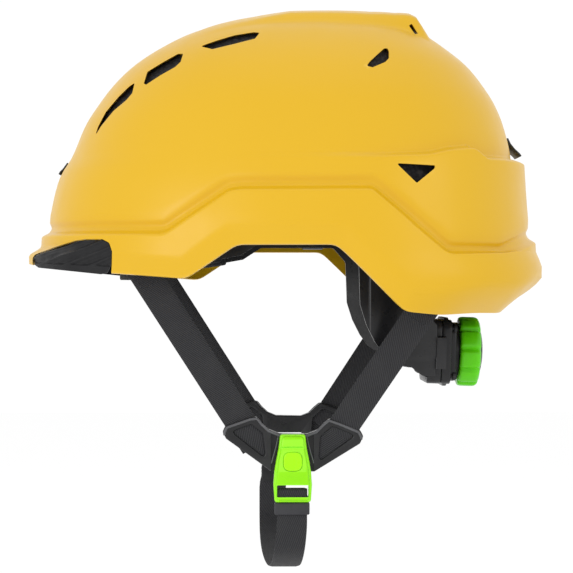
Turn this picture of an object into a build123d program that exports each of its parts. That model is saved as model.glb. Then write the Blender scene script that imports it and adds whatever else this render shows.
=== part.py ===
"""Climbing-style arborist helmet: vented shell, foam liner, dial headband and Y-strap harness.

Frame: +Z up, the brim faces -Y, the wearer's left is +X. The origin is the centre of the headband
plane on the middle plane of the head.
"""

import os
from math import cos, pi, radians, sin, sqrt

from build123d import *

# ---------------------------------------------------------------- driving sizes, mm and degrees
HALF_WIDTH = 108.0          # dome, from the middle plane to the side at the rim
FRONT_REACH = 139.0         # dome, from the origin to the brim
REAR_REACH = 140.5          # dome, from the origin to the nape edge
CROWN_HEIGHT = 125.0        # headband plane to the crown under the ridge
WALL = 2.6                  # shell moulding
BAND_PROUD = 3.5            # skirt band, proud of the dome
RIDGE_PROUD = 4.4           # centre ridge, proud of the dome
RIDGE_HALF_WIDTH = 38.0
LINER_THICK = 12.0
LINER_FOOT = 7.0            # lowest height of the foam liner
FIT_GAP = 0.3               # clearance between pieces that are set into each other
VENT_DEPTH = 70.0

HEADBAND_HALF_WIDTH = 78.0
HEADBAND_HALF_LENGTH = 97.0
HEADBAND_THICK = 2.0
HEADBAND_BOTTOM = -19.0     # at the brow; the band rises towards the temples
HEADBAND_TEMPLE = -2.6      # lowest height of the band at the temples
HEADBAND_TOP = 12.0
BROW_PAD_THICK = 4.0

WEB_WIDTH = 16.0            # 5/8 inch harness webbing
WEB_THICK = 1.6
DIVIDER_THICK = 6.0
DIVIDER_X = 66.0            # middle plane of a side divider
CHIN_DROP = 183.0           # headband plane to the bottom of the chin strap
CHIN_Y = 2.0                # middle of the chin strap, front to back

KNOB_DIAMETER = 39.4
KNOB_DEPTH = 13.0
KNOB_LOBES = 10
HOUSING_WIDTH = 48.0
HOUSING_HEIGHT = 36.0
RATCHET_Y = 86.6            # the plane between the two rack strips
RATCHET_Z = -62.7
RATCHET_TILT = 2.0          # the dial leans down at the rear
GEAR_MODULE = 1.0
PINION_TEETH = 10
RACK_THICK = 1.6
RACK_HEIGHT = 17.0
TIGHTEN_TRAVEL = 9.0        # the dial unit moves this far forward from rest
LOOSEN_TRAVEL = 6.0
RACK_PER_TRAVEL = 1.5       # sideways rack travel for each unit of dial-unit travel

NAPE_HALF_WIDTH = HEADBAND_HALF_WIDTH - HEADBAND_THICK - 2 * FIT_GAP    # nape arms, outer ellipse
NAPE_HALF_LENGTH = 104.0
NAPE_THICK = 2.2
TILT_Y = 18.0               # temple pivots of the nape arms
TILT_Z = 3.0
PIVOT_RADIUS = 2.5
PIVOT_GAP = 0.05

FAR = 200.0                 # longer than the helmet in every direction


# ---------------------------------------------------------------- dome
# Shares of crown height, front reach, rear reach and half width, and the lean of the surface
# from upright in degrees.
RIM_STATIONS = [
    (-45.0, 0.950, 0.847, 0.963, 0),
    (-20.0, 1.000, 1.000, 1.000, 0),
    (5.0, 0.975, 0.972, 0.991, 0),
]
DOME_STATIONS = [
    (0.240, 0.924, 0.947, 0.958, 2),
    (0.368, 0.874, 0.915, 0.921, 8),
    (0.520, 0.813, 0.865, 0.852, 20),
    (0.688, 0.709, 0.797, 0.741, 36),
    (0.840, 0.547, 0.662, 0.583, 52),
    (0.936, 0.388, 0.534, 0.417, 66),
    (0.984, 0.245, 0.413, 0.259, 78),
    (1.000, 0.072, 0.299, 0.111, 90),
]
RING_MIDDLE = 12.0          # where the rings are widest, behind the origin
RING_POWER = 2.2
RING_POINTS = 16


def stations():
    """Every ring of the dome: height, front reach, rear reach, half width, lean."""
    rows = [
        (z, f * FRONT_REACH, r * REAR_REACH, w * HALF_WIDTH, lean)
        for z, f, r, w, lean in RIM_STATIONS
    ]
    rows += [
        (z * CROWN_HEIGHT, f * FRONT_REACH, r * REAR_REACH, w * HALF_WIDTH, lean)
        for z, f, r, w, lean in DOME_STATIONS
    ]
    return rows


def ring_points(front, rear, half_width):
    """Points round one ring, fuller at the corners than an ellipse."""
    points = []
    middle = min(RING_MIDDLE, (rear - front) / 2 + RING_MIDDLE)
    for i in range(RING_POINTS):
        angle = 2 * pi * i / RING_POINTS
        across, along = cos(angle), sin(angle)
        reach = rear - middle if along > 0 else front + middle
        x = half_width * abs(across) ** (2 / RING_POWER) * (1 if across > 0 else -1)
        y = reach * abs(along) ** (2 / RING_POWER) * (1 if along > 0 else -1)
        points.append((x, middle + y))
    return points


def dome(grow, foot=0.0):
    """The solid dome, grown outward by grow, its foot lowered by foot."""
    with BuildPart() as body:
        for i, (z, front, rear, half, lean) in enumerate(stations()):
            out = grow * cos(radians(lean))
            height = z + grow * sin(radians(lean)) - (foot if i == 0 else 0)
            with BuildSketch(Plane.XY.offset(height)):
                with BuildLine():
                    Spline(*ring_points(front + out, rear + out, half + out), periodic=True)
                make_face()
        loft()
    return body.part


def dome_half_width(y, z, grow):
    """Half width of the grown dome at a place on its side."""
    rows = stations()
    low, high = rows[0], rows[-1]
    for a, b in zip(rows, rows[1:]):
        if a[0] <= z <= b[0]:
            low, high = a, b
    share = (z - low[0]) / (high[0] - low[0])
    front, rear, half = [low[i] + share * (high[i] - low[i]) + grow for i in (1, 2, 3)]
    reach = rear - RING_MIDDLE if y > RING_MIDDLE else front + RING_MIDDLE
    along = min(abs(y - RING_MIDDLE) / reach, 1.0)
    return half * (1 - along**RING_POWER) ** (1 / RING_POWER)


def side_prism(points, x_from, x_to, radii=0.0):
    """A prism along X over a side outline given as (y, z) points."""
    with BuildPart() as body:
        with BuildSketch(Plane.YZ.offset(x_from)):
            with BuildLine():
                if radii:
                    FilletPolyline(*points, radius=radii, close=True)
                else:
                    Polyline(*points, close=True)
            make_face()
        extrude(amount=x_to - x_from)
    return body.part


def mirrored(part):
    """The same piece on the other side of the head."""
    return mirror(part, about=Plane.YZ)


def block(x0, x1, y0, y1, z0, z1):
    """A plain block between two corners."""
    with BuildPart() as body:
        with BuildSketch(Plane.XY.offset(z0)):
            with Locations(((x0 + x1) / 2, (y0 + y1) / 2)):
                Rectangle(x1 - x0, y1 - y0)
        extrude(amount=z1 - z0)
    return body.part


# ---------------------------------------------------------------- shell
BAND_LINE = [(-FAR, 5), (-64, 3), (-31, 24), (-24, 25), (43, 25), (80, -8), (108, -8), (136, 4), (FAR, 5)]
EDGE_LINE = [(-FAR, -10), (-96, -18.8), (-53, -22), (-27, -4.5), (24, -4.5), (59, -38.5), (78, -40.5), (FAR, -42)]
EDGE_RADII = [9, 9, 14, 12, 9, 30]
SIDE_VENTS = {
    "low": [(-104, 56), (-102.5, 61), (-98, 70), (-91, 78), (-83, 85), (-84.5, 77), (-94, 68)],
    "middle": [(-77, 83), (-75.5, 90), (-68, 95), (-58, 100), (-58.5, 94), (-67, 87.5)],
    "high": [(-47, 103.5), (-38, 106.5), (-28, 110), (-15, 111), (-18, 106.5), (-40, 101)],
    "rear": [(41, 90), (43, 93), (52, 102), (54, 100), (53.5, 95), (45, 90)],
    "ear": [(55, 37), (75.3, 36.4), (75, 34.6), (65.5, 27)],
}
RIDGE_VENT = [(67.5, 118.2), (69.2, 119.8), (72.5, 113.5), (70.8, 113.5)]
VENT_CORNER = 0.8
INSERT_LINE = [(-141.5, -9), (-122, -5), (-112.5, -2), (-98, -1.2), (-93.6, -5), (-93.4, -13), (-96, -18), (-141.5, -17.2)]
INSERT_INNER_X = 14.0
INSERT_DEPTH = 2.6
LAMP_RECESS = 3.0
LAMP_HALF_WIDTH = 11.0
LAMP_FLOOR = -1.0           # depth of the recess floor, from the dome
LAMP_HEIGHTS = {True: (33.0, 44.0), False: (44.5, 57.0)}


def under_band():
    """Everything below the line where the skirt band starts."""
    outline = BAND_LINE + [(FAR, -70), (-FAR, -70)]
    return side_prism(outline, -FAR, FAR)


def under_edge():
    """Everything below the bottom edge of the shell."""
    with BuildPart() as body:
        with BuildSketch(Plane.YZ.offset(-FAR)):
            with BuildLine():
                rim = FilletPolyline(*EDGE_LINE, radius=EDGE_RADII)
                Polyline(rim @ 1, (FAR, -90), (-FAR, -90), rim @ 0)
            make_face()
        extrude(amount=2 * FAR)
    return body.part


def vent_cutters():
    """Prisms that open the vents on the left side."""
    cutters = []
    for name, outline in SIDE_VENTS.items():
        start = 24.0 if name == "high" else 30.0
        cutters.append(side_prism(outline, start, start + VENT_DEPTH + 20, VENT_CORNER))
    cutters.append(side_prism(RIDGE_VENT, 8, RIDGE_HALF_WIDTH + 12))
    return cutters


def insert_space(gap):
    """The pocket of the left brim insert, widened by gap all round."""
    middle_y = sum(y for y, _ in INSERT_LINE) / len(INSERT_LINE)
    middle_z = sum(z for _, z in INSERT_LINE) / len(INSERT_LINE)
    outline = []
    for y, z in INSERT_LINE:
        reach = sqrt((y - middle_y) ** 2 + (z - middle_z) ** 2)
        grow = 1 + gap / reach
        outline.append((middle_y + (y - middle_y) * grow, middle_z + (z - middle_z) * grow))
    space = side_prism(outline, INSERT_INNER_X - gap, FAR)
    return space - dome(BAND_PROUD - INSERT_DEPTH - gap)


def lamp_space(gap, front):
    """The recess that a lamp clip sits in, at the front or the rear of the shell."""
    y = -FRONT_REACH * 0.895 if front else REAR_REACH * 0.91
    away = -1 if front else 1
    half = LAMP_HALF_WIDTH + gap
    low, high = LAMP_HEIGHTS[front]
    corners = sorted((y + away * (-LAMP_RECESS - gap), y + away * 20))
    return block(-half, half, corners[0], corners[1], low - gap, high + gap)


def make_shell():
    ridge_slab = block(-RIDGE_HALF_WIDTH, RIDGE_HALF_WIDTH, -62, 73.5, 60, 150)
    ridge_step = side_prism([(68, 140), (72, 126.5), (80, 116), (100, 100), (100, 150)], -FAR, FAR)
    with BuildPart() as shell:
        add(dome(0))
        add(dome(BAND_PROUD) & under_band())
        add((dome(RIDGE_PROUD) & ridge_slab) - ridge_step)
        add(dome(-WALL, foot=5), mode=Mode.SUBTRACT)
        add(under_edge(), mode=Mode.SUBTRACT)
        for cutter in vent_cutters():
            add(cutter, mode=Mode.SUBTRACT)
            add(mirrored(cutter), mode=Mode.SUBTRACT)
        pocket = insert_space(0.25)
        add(pocket, mode=Mode.SUBTRACT)
        add(mirrored(pocket), mode=Mode.SUBTRACT)
        for front in (True, False):
            add(lamp_space(FIT_GAP, front) - dome(LAMP_FLOOR), mode=Mode.SUBTRACT)
    return shell.part


def make_liner():
    skin = dome(-WALL - FIT_GAP)
    inside = dome(-WALL - FIT_GAP - LINER_THICK, foot=5)
    with BuildPart() as liner:
        add(skin)
        add(inside, mode=Mode.SUBTRACT)
        add(block(-FAR, FAR, -FAR, FAR, -FAR, LINER_FOOT), mode=Mode.SUBTRACT)
        for y in (-70, -20, 45):
            add(block(28, 36, y - 4, y + 4, 60, 140), mode=Mode.SUBTRACT)
            add(block(-36, -28, y - 4, y + 4, 60, 140), mode=Mode.SUBTRACT)
    return liner.part


def make_brim_insert():
    """Ribbed black insert in the brim pocket: a skin over the pocket floor with raised ribs."""
    with BuildPart() as insert:
        add(insert_space(0) & dome(BAND_PROUD - 0.9))
        ribs = [
            side_prism([(y, -17), (y + 2.2, -17), (y + 13.2, -3.4), (y + 11, -3.4)], INSERT_INNER_X, FAR)
            for y in (-134, -127, -120, -113)
        ]
        for rib in ribs:
            add(rib & insert_space(0) & dome(BAND_PROUD - 0.1))
    return insert.part


def make_lamp_clip(front):
    """A hooked tongue that holds the band of a headlamp."""
    away = -1 if front else 1
    reach = FRONT_REACH * 0.895 if front else REAR_REACH * 0.91
    low, high = LAMP_HEIGHTS[front]
    foot = reach - LAMP_RECESS + 1.9
    outline = [
        (away * foot, high),
        (away * (foot + 2.0), high),
        (away * (foot + 3.4), high - 4.2),
        (away * (foot + 6.4), low + 2.2),
        (away * (foot + 5.0), low + 1.2),
        (away * (foot + 1.8), high - 5.6),
        (away * (foot + 1.4), low + 0.2),
        (away * foot, low + 0.2),
    ]
    hook = side_prism(outline, -LAMP_HALF_WIDTH + 0.2, LAMP_HALF_WIDTH - 0.2)
    return hook - dome(LAMP_FLOOR + 0.25)


def make_crown_pad(y_from, y_to):
    """A comfort pad under the liner."""
    under = -WALL - 2 * FIT_GAP - LINER_THICK
    slab = block(-20, 20, y_from, y_to, 70, 140)
    return (dome(under) & slab) - dome(under - 6)


# ---------------------------------------------------------------- headband
def wall_ring(half_width, half_length, thick, z_from, z_to):
    """An upright elliptical band."""
    with BuildPart() as band:
        with BuildSketch(Plane.XY.offset(z_from)):
            Ellipse(half_width, half_length)
            Ellipse(half_width - thick, half_length - thick, mode=Mode.SUBTRACT)
        extrude(amount=z_to - z_from)
    return band.part


def make_headband_front():
    """Front half of the headband, down to the temples."""
    side_cut = [(-FAR, HEADBAND_BOTTOM), (-80, HEADBAND_BOTTOM), (-36, -11.8), (-25, -9.8)]
    side_cut += [(-14, HEADBAND_TEMPLE), (28, HEADBAND_TEMPLE)]
    side_cut += [(28, HEADBAND_TOP - 1), (4, HEADBAND_TOP), (-FAR, HEADBAND_TOP)]
    band = wall_ring(
        HEADBAND_HALF_WIDTH, HEADBAND_HALF_LENGTH, HEADBAND_THICK, HEADBAND_BOTTOM, HEADBAND_TOP
    )
    with BuildPart() as front:
        add(band & side_prism(side_cut, -FAR, FAR))
        with Locations(Location((0, TILT_Y, TILT_Z), (0, 90, 0))):
            Cylinder(PIVOT_RADIUS + PIVOT_GAP, 2 * FAR, mode=Mode.SUBTRACT)
    return front.part


def make_brow_pad():
    """Padding wrapped round the inside and the lower lip of the front band."""
    thick = HEADBAND_THICK + BROW_PAD_THICK + 1.4
    lip = HEADBAND_BOTTOM - 4
    side_cut = [(-FAR, lip), (-90, lip), (-80, lip + 2.4), (-34, lip + 9), (-34, FAR), (-FAR, FAR)]
    pad = wall_ring(
        HEADBAND_HALF_WIDTH + 1.4, HEADBAND_HALF_LENGTH + 1.4, thick, lip, HEADBAND_TOP
    )
    clear = wall_ring(
        HEADBAND_HALF_WIDTH + FIT_GAP,
        HEADBAND_HALF_LENGTH + FIT_GAP,
        HEADBAND_THICK + 2 * FIT_GAP,
        HEADBAND_BOTTOM - FIT_GAP,
        HEADBAND_TOP + 1,
    )
    outside = wall_ring(
        HEADBAND_HALF_WIDTH + 5, HEADBAND_HALF_LENGTH + 5, 5.2, HEADBAND_BOTTOM + 4, HEADBAND_TOP + 1
    )
    return ((pad & side_prism(side_cut, -FAR, FAR)) - clear) - outside


def make_hanger(y_from, y_to, left):
    """A strut that hangs one side of the headband from the shell."""
    band_x = HEADBAND_HALF_WIDTH * sqrt(1 - (max(abs(y_from), abs(y_to)) / HEADBAND_HALF_LENGTH) ** 2)
    bar = block(band_x - 14, FAR, y_from, y_to, -3.0, LINER_FOOT - FIT_GAP)
    rivet = block(0, HEADBAND_HALF_WIDTH + 1.2, TILT_Y - 3.2, TILT_Y + 3.2, TILT_Z - 3.2, FAR)
    with BuildPart() as hole:
        with BuildSketch(Plane.XY.offset(-20)):
            Ellipse(HEADBAND_HALF_WIDTH + 0.1, HEADBAND_HALF_LENGTH + 0.1)
        extrude(amount=60)
    strut = (bar - hole.part) - rivet
    return (strut if left else mirrored(strut)) & dome(-WALL - FIT_GAP)


# ---------------------------------------------------------------- nape arms and pivots
ARM_LINE = [
    (8, -3.2), (30, -3.6), (37.5, -12), (38.5, -36), (43.5, -50), (51, -62), (66, -70.5),
    (90, -72.5), (90, -53), (72, -34), (61, -2), (48, 9), (8, 10),
]
ARM_END_X = 48.2


def make_nape_arm():
    """Left nape arm: a curved plate from the temple pivot down to the dial."""
    wall = wall_ring(NAPE_HALF_WIDTH, NAPE_HALF_LENGTH, NAPE_THICK, -90, 30)
    with BuildPart() as arm:
        add(wall & side_prism(ARM_LINE, ARM_END_X, FAR))
        with Locations(Location((0, TILT_Y, TILT_Z), (0, 90, 0))):
            Cylinder(PIVOT_RADIUS + PIVOT_GAP, 2 * FAR, mode=Mode.SUBTRACT)
    return arm.part


def make_pivot_pin():
    """Temple rivet: a stepped pin through the headband and the nape arm."""
    outer_x = HEADBAND_HALF_WIDTH * sqrt(1 - (TILT_Y / HEADBAND_HALF_LENGTH) ** 2)
    inner_x = NAPE_HALF_WIDTH * sqrt(1 - (TILT_Y / NAPE_HALF_LENGTH) ** 2) - NAPE_THICK
    with BuildPart() as pin:
        with BuildSketch(Plane.YZ.offset(inner_x - 2.2)):
            with Locations((TILT_Y, TILT_Z)):
                Circle(2 * PIVOT_RADIUS)
        extrude(amount=1.2)
        with BuildSketch(Plane.YZ.offset(inner_x - 1.2)):
            with Locations((TILT_Y, TILT_Z)):
                Circle(PIVOT_RADIUS)
        extrude(amount=outer_x - inner_x + 1.6)
    return pin.part


# ---------------------------------------------------------------- dial
RATCHET = Plane(
    origin=(0, RATCHET_Y, RATCHET_Z),
    x_dir=(1, 0, 0),
    z_dir=(0, cos(radians(RATCHET_TILT)), -sin(radians(RATCHET_TILT))),
)
PITCH_RADIUS = GEAR_MODULE * PINION_TEETH / 2
TOOTH_TIP = 0.7 * GEAR_MODULE
TOOTH_ROOT = 1.05 * GEAR_MODULE
TOOTH_PITCH = pi * GEAR_MODULE
TOOTH_FOOT = 0.56 * GEAR_MODULE     # half widths of a rack tooth
TOOTH_CREST = 0.16 * GEAR_MODULE
TOOTH_FLANK = 0.36 * GEAR_MODULE
RACK_GAP = 0.2
SHAFT_RADIUS = 3.2
BASE_DEPTH = 6.0
COVER_DEPTH = 6.6
RACK_ROOM = 2 * RACK_THICK + 3 * RACK_GAP
SLOT_END_GAP = 1.0
SLOT_INNER = LOOSEN_TRAVEL * RACK_PER_TRAVEL + PITCH_RADIUS + TOOTH_TIP + SLOT_END_GAP
SLOT_OUTER = TIGHTEN_TRAVEL * RACK_PER_TRAVEL + PITCH_RADIUS + TOOTH_TIP + SLOT_END_GAP
RACK_TIP = SLOT_INNER + 2.5
RACK_TAB = 2.4              # thickness of the foot that joins a rack strip to its nape arm
RACK_TAB_FRONT = -5.4


def ratchet_box(width, height, s_from, s_to, corner=0.0):
    """A block on the dial's axis, from s_from to s_to along it."""
    with BuildPart() as body:
        with BuildSketch(RATCHET.offset(s_from)):
            if corner:
                RectangleRounded(width, height, corner)
            else:
                Rectangle(width, height)
        extrude(amount=s_to - s_from)
    return body.part


def ratchet_disc(radius, s_from, s_to):
    """A disc on the dial's axis."""
    with BuildPart() as body:
        with BuildSketch(RATCHET.offset(s_from)):
            Circle(radius)
        extrude(amount=s_to - s_from)
    return body.part


def make_rack(left):
    """A rack strip with a toothed slot, on the left or the right of the head."""
    side = 1 if left else -1
    s_from = -RACK_GAP / 2 - RACK_THICK if left else RACK_GAP / 2
    slot_low = PITCH_RADIUS + TOOTH_ROOT
    x_from, x_to = sorted((-side * SLOT_INNER, side * SLOT_OUTER))
    tip, end = sorted((-side * RACK_TIP, side * (ARM_END_X - 0.2)))
    with BuildPart() as rack:
        with BuildSketch(RATCHET.offset(s_from)):
            with Locations(((tip + end) / 2, 0)):
                Rectangle(end - tip, RACK_HEIGHT)
            with Locations(((x_from + x_to) / 2, 0)):
                Rectangle(x_to - x_from, 2 * slot_low, mode=Mode.SUBTRACT)
            count = int((x_to - x_from) / TOOTH_PITCH / 2) + 1
            for i in range(-count, count + 1):
                x = (i + 0.5) * TOOTH_PITCH
                if x_from + 1.2 < x < x_to - 1.2:
                    with BuildLine():
                        Polyline(
                            (x - TOOTH_FOOT, -side * (slot_low + 0.3)),
                            (x - TOOTH_CREST, -side * (PITCH_RADIUS - TOOTH_TIP)),
                            (x + TOOTH_CREST, -side * (PITCH_RADIUS - TOOTH_TIP)),
                            (x + TOOTH_FOOT, -side * (slot_low + 0.3)),
                            close=True,
                        )
                    make_face()
        extrude(amount=RACK_THICK)
        tab_high_x = ARM_END_X - 0.2
        tab_low, tab_high = sorted((side * (tab_high_x - RACK_TAB), side * tab_high_x))
        with BuildSketch(RATCHET.offset(RACK_TAB_FRONT)):
            with Locations(((tab_low + tab_high) / 2, 0)):
                Rectangle(tab_high - tab_low, RACK_HEIGHT)
        extrude(amount=s_from - RACK_TAB_FRONT + RACK_THICK)
    return rack.part


def make_pinion():
    """Pinion and shaft that the knob turns, meshing with both racks."""
    root = PITCH_RADIUS - TOOTH_ROOT
    tip = PITCH_RADIUS + TOOTH_TIP
    tooth = [(root - 0.4, -TOOTH_FOOT), (PITCH_RADIUS, -TOOTH_FLANK), (tip, -TOOTH_CREST)]
    tooth += [(radius, -across) for radius, across in tooth[::-1]]
    with BuildPart() as pinion:
        with BuildSketch(RATCHET.offset(-RACK_THICK - RACK_GAP / 2)):
            Circle(root)
            for i in range(PINION_TEETH):
                turn = 90 + 360 * i / PINION_TEETH
                with BuildLine():
                    Polyline(*[Vector(*corner).rotate(Axis.Z, turn) for corner in tooth], close=True)
                make_face()
        extrude(amount=RACK_ROOM - RACK_GAP)
        with BuildSketch(RATCHET.offset(RACK_ROOM / 2 - RACK_GAP)):
            Circle(SHAFT_RADIUS)
        extrude(amount=COVER_DEPTH + 6)
    return pinion.part


BASE_FRONT = -RACK_ROOM / 2 - BASE_DEPTH
COVER_BACK = RACK_ROOM / 2 + COVER_DEPTH
COLLAR_BACK = COVER_BACK + 2.2
KNOB_FRONT = COLLAR_BACK + 0.2
SCREW_X = HOUSING_WIDTH / 2 - 5.0
SCREW_Z = HOUSING_HEIGHT / 2 - 4.6


def make_ratchet_base():
    """Front half of the dial housing, with channels for the racks."""
    with BuildPart() as base:
        add(ratchet_box(HOUSING_WIDTH, HOUSING_HEIGHT, BASE_FRONT, 0, 6))
        add(ratchet_box(FAR, RACK_HEIGHT + 0.6, -RACK_ROOM / 2, 5), mode=Mode.SUBTRACT)
        with Locations(RATCHET):
            with GridLocations(2 * SCREW_X, 2 * SCREW_Z, 2, 2):
                Cylinder(1.3 + 0.05, 40, mode=Mode.SUBTRACT)
    return base.part


def make_ratchet_cover():
    """Rear half of the dial housing, with the collar that the knob turns on."""
    with BuildPart() as cover:
        add(ratchet_box(HOUSING_WIDTH, HOUSING_HEIGHT, 0.1, COVER_BACK, 6))
        add(ratchet_disc(KNOB_DIAMETER / 2 - 3.5, COVER_BACK, COLLAR_BACK))
        add(ratchet_disc(11.6, COVER_BACK - 0.1, COVER_BACK + 10), mode=Mode.SUBTRACT)
        add(ratchet_box(FAR, RACK_HEIGHT + 0.6, -5, RACK_ROOM / 2), mode=Mode.SUBTRACT)
        add(ratchet_disc(SHAFT_RADIUS + 0.06, -5, 30), mode=Mode.SUBTRACT)
        with Locations(RATCHET):
            with GridLocations(2 * SCREW_X, 2 * SCREW_Z, 2, 2):
                Cylinder(1.3 + 0.05, 40, mode=Mode.SUBTRACT)
        with Locations(RATCHET.offset(COVER_BACK)):
            with GridLocations(2 * SCREW_X, 2 * SCREW_Z, 2, 2):
                Cylinder(2.7, 3.2, mode=Mode.SUBTRACT)
    return cover.part


def make_cover_screws():
    """Four screws that close the dial housing."""
    with BuildPart() as screws:
        with BuildSketch(RATCHET.offset(COVER_BACK - 1.6)):
            with GridLocations(2 * SCREW_X, 2 * SCREW_Z, 2, 2):
                Circle(2.5)
        extrude(amount=1.5)
        with BuildSketch(RATCHET.offset(BASE_FRONT + 1.0)):
            with GridLocations(2 * SCREW_X, 2 * SCREW_Z, 2, 2):
                Circle(1.3)
        extrude(amount=COVER_BACK - 1.6 - BASE_FRONT - 1.0)
        with BuildSketch(RATCHET.offset(COVER_BACK - 0.8)):
            with GridLocations(2 * SCREW_X, 2 * SCREW_Z, 2, 2):
                Rectangle(3.0, 0.6)
                Rectangle(0.6, 3.0)
        extrude(amount=1.0, mode=Mode.SUBTRACT)
    return screws.part


def make_click_spring():
    """Flat ring spring whose two pawls ride on the knob's inner teeth."""
    with BuildPart() as spring:
        with BuildSketch(RATCHET.offset(COVER_BACK)):
            Circle(9.2)
            Circle(7.6, mode=Mode.SUBTRACT)
            with PolarLocations(9.6, 2):
                Rectangle(2.2, 1.8)
        extrude(amount=1.5)
    return spring.part


def make_knob():
    """Green lobed dial with a soft hollow on its front and a seat for the cap."""
    outer = KNOB_DIAMETER / 2
    with BuildPart() as knob:
        with BuildSketch(RATCHET.offset(KNOB_FRONT)):
            Circle(outer)
            with PolarLocations(outer + 3.6, KNOB_LOBES, start_angle=18):
                Circle(5.0, mode=Mode.SUBTRACT)
        extrude(amount=KNOB_DEPTH)
        with BuildSketch(RATCHET.offset(KNOB_FRONT + KNOB_DEPTH - 1.6)):
            Circle(13.0)
        extrude(amount=1.6, mode=Mode.SUBTRACT)
        with BuildSketch(RATCHET.offset(KNOB_FRONT)):
            Circle(outer - 5.4)
            Circle(6.0, mode=Mode.SUBTRACT)
        extrude(amount=KNOB_DEPTH - 4.0, mode=Mode.SUBTRACT)
        with BuildSketch(RATCHET.offset(KNOB_FRONT)):
            Circle(SHAFT_RADIUS + 0.02)
        extrude(amount=KNOB_DEPTH - 4.0, mode=Mode.SUBTRACT)
    return knob.part


def make_knob_cap():
    """Black domed cap on the dial."""
    start = KNOB_FRONT + KNOB_DEPTH - 1.5
    with BuildPart() as cap:
        with BuildSketch(RATCHET.offset(start)):
            Circle(12.8)
        extrude(amount=2.4)
        fillet(cap.edges().sort_by(Axis(RATCHET.origin, RATCHET.z_dir))[-1], radius=1.6)
    return cap.part


def make_nape_pad():
    """Foam pad between the dial housing and the nape."""
    front = RATCHET_Y + BASE_FRONT
    with BuildPart() as pad:
        with BuildSketch(Plane.XY.offset(RATCHET_Z - 15)):
            with Locations((0, front - 3.4)):
                RectangleRounded(72, 5.6, 2.6)
        extrude(amount=30)
        fillet(pad.edges().filter_by(GeomType.LINE).filter_by(Axis.X), radius=2.0)
    return pad.part


# ---------------------------------------------------------------- harness
DIVIDER_BOTTOM = -124.5
FRONT_STRAP_TOP = (-88.3, 0.0)
FRONT_STRAP_LEAN = (0.539, -0.842)
REAR_STRAP_TOP = (88.5, -12.0)
REAR_STRAP_LEAN = (-0.555, -0.832)
STRAP_FOOT_Z = -111.0
SLOT_GAP = 0.2
DIVIDER_LINE = [
    (-34.7, -103.5), (-33, -100), (-18.5, -95.2), (-10.6, -102.1), (-5, -104.4), (10, -104.6),
    (15.6, -102.5), (22.5, -96.6), (38.6, -102.8), (40, -106), (37.5, -110.2), (13.8, -124.5),
    (-8.6, -124.5), (-33.5, -107),
]
FRONT_WINDOW = [(-29.5, -102.6), (-18.4, -99), (-13, -104.5), (-11, -118.4)]
REAR_WINDOW = [(22.6, -100.4), (35, -105), (15.4, -118.8), (16.6, -106)]
HINGE_Z = -119.6
HINGE_RADIUS = 2.2
LEG_FOOT_Z = -160.0         # where the straight legs of the chin strap end
CLIP_TRAVEL = 8.0
CLIP_TOP = -104.2
CLIP_BOTTOM = -140.3
CLIP_WIDE = 20.5
CLIP_NARROW = 13.3
CLIP_Y = 2.3
CLIP_THICK = 8.0
CLIP_X = DIVIDER_X + 1.6    # inner face of the buckle clip
STRAP_X = CLIP_X + 2.6      # middle of the webbing in the clip


def strap_anchor_x(y, z):
    """Middle plane of a side strap where it meets its anchor."""
    return dome_half_width(y, z, -WALL) - 6.0


def side_strap_frame(top, lean):
    """Plane on the middle of a side strap: x along it downward, z out of its face."""
    start = Vector(strap_anchor_x(*top), top[0], top[1])
    drop = (STRAP_FOOT_Z - top[1]) / lean[1]
    end = Vector(DIVIDER_X, top[0] + lean[0] * drop, STRAP_FOOT_Z)
    along = (end - start).normalized()
    across = Vector(0, -lean[1], lean[0])
    return Plane(origin=start, x_dir=along, z_dir=along.cross(across)), (end - start).length


def side_strap(top, lean, gap=0.0):
    """Webbing from an anchor to the divider, widened by gap all round."""
    frame, length = side_strap_frame(top, lean)
    with BuildPart() as strap:
        with BuildSketch(frame.offset(-WEB_THICK / 2 - gap)):
            with Locations((length / 2, 0)):
                Rectangle(length + 2 * gap, WEB_WIDTH + 2 * gap)
        extrude(amount=WEB_THICK + 2 * gap)
    return strap.part


def make_anchor(top, lean):
    """A moulded foot on the inside of the shell that holds the top of a side strap."""
    middle = strap_anchor_x(*top)
    y, z = top
    foot = block(middle - 4.0, FAR, y - 10.5, y + 10.5, z - 10, z + 4)
    with BuildPart() as anchor:
        add(foot & dome(-WALL - FIT_GAP))
        add(side_strap(top, lean, SLOT_GAP), mode=Mode.SUBTRACT)
        with Locations(Location((0, y, z + 2), (0, 90, 0))):
            Cylinder(1.6, 2 * FAR, mode=Mode.SUBTRACT)
    return anchor.part


def make_anchor_screws():
    """Four screws, one through the top of each anchor."""
    with BuildPart() as screws:
        for y, z in (FRONT_STRAP_TOP, REAR_STRAP_TOP):
            middle = strap_anchor_x(y, z)
            for side in (1, -1):
                face = Plane(origin=(side * (middle - 5.6), y, z + 2), z_dir=(side, 0, 0))
                with BuildSketch(face):
                    Circle(3.0)
                extrude(amount=1.5)
                with BuildSketch(face.offset(1.5)):
                    Circle(1.5)
                extrude(amount=8)
                with BuildSketch(face):
                    Rectangle(3.4, 0.7)
                    Rectangle(0.7, 3.4)
                extrude(amount=0.7, mode=Mode.SUBTRACT)
    return screws.part


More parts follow.
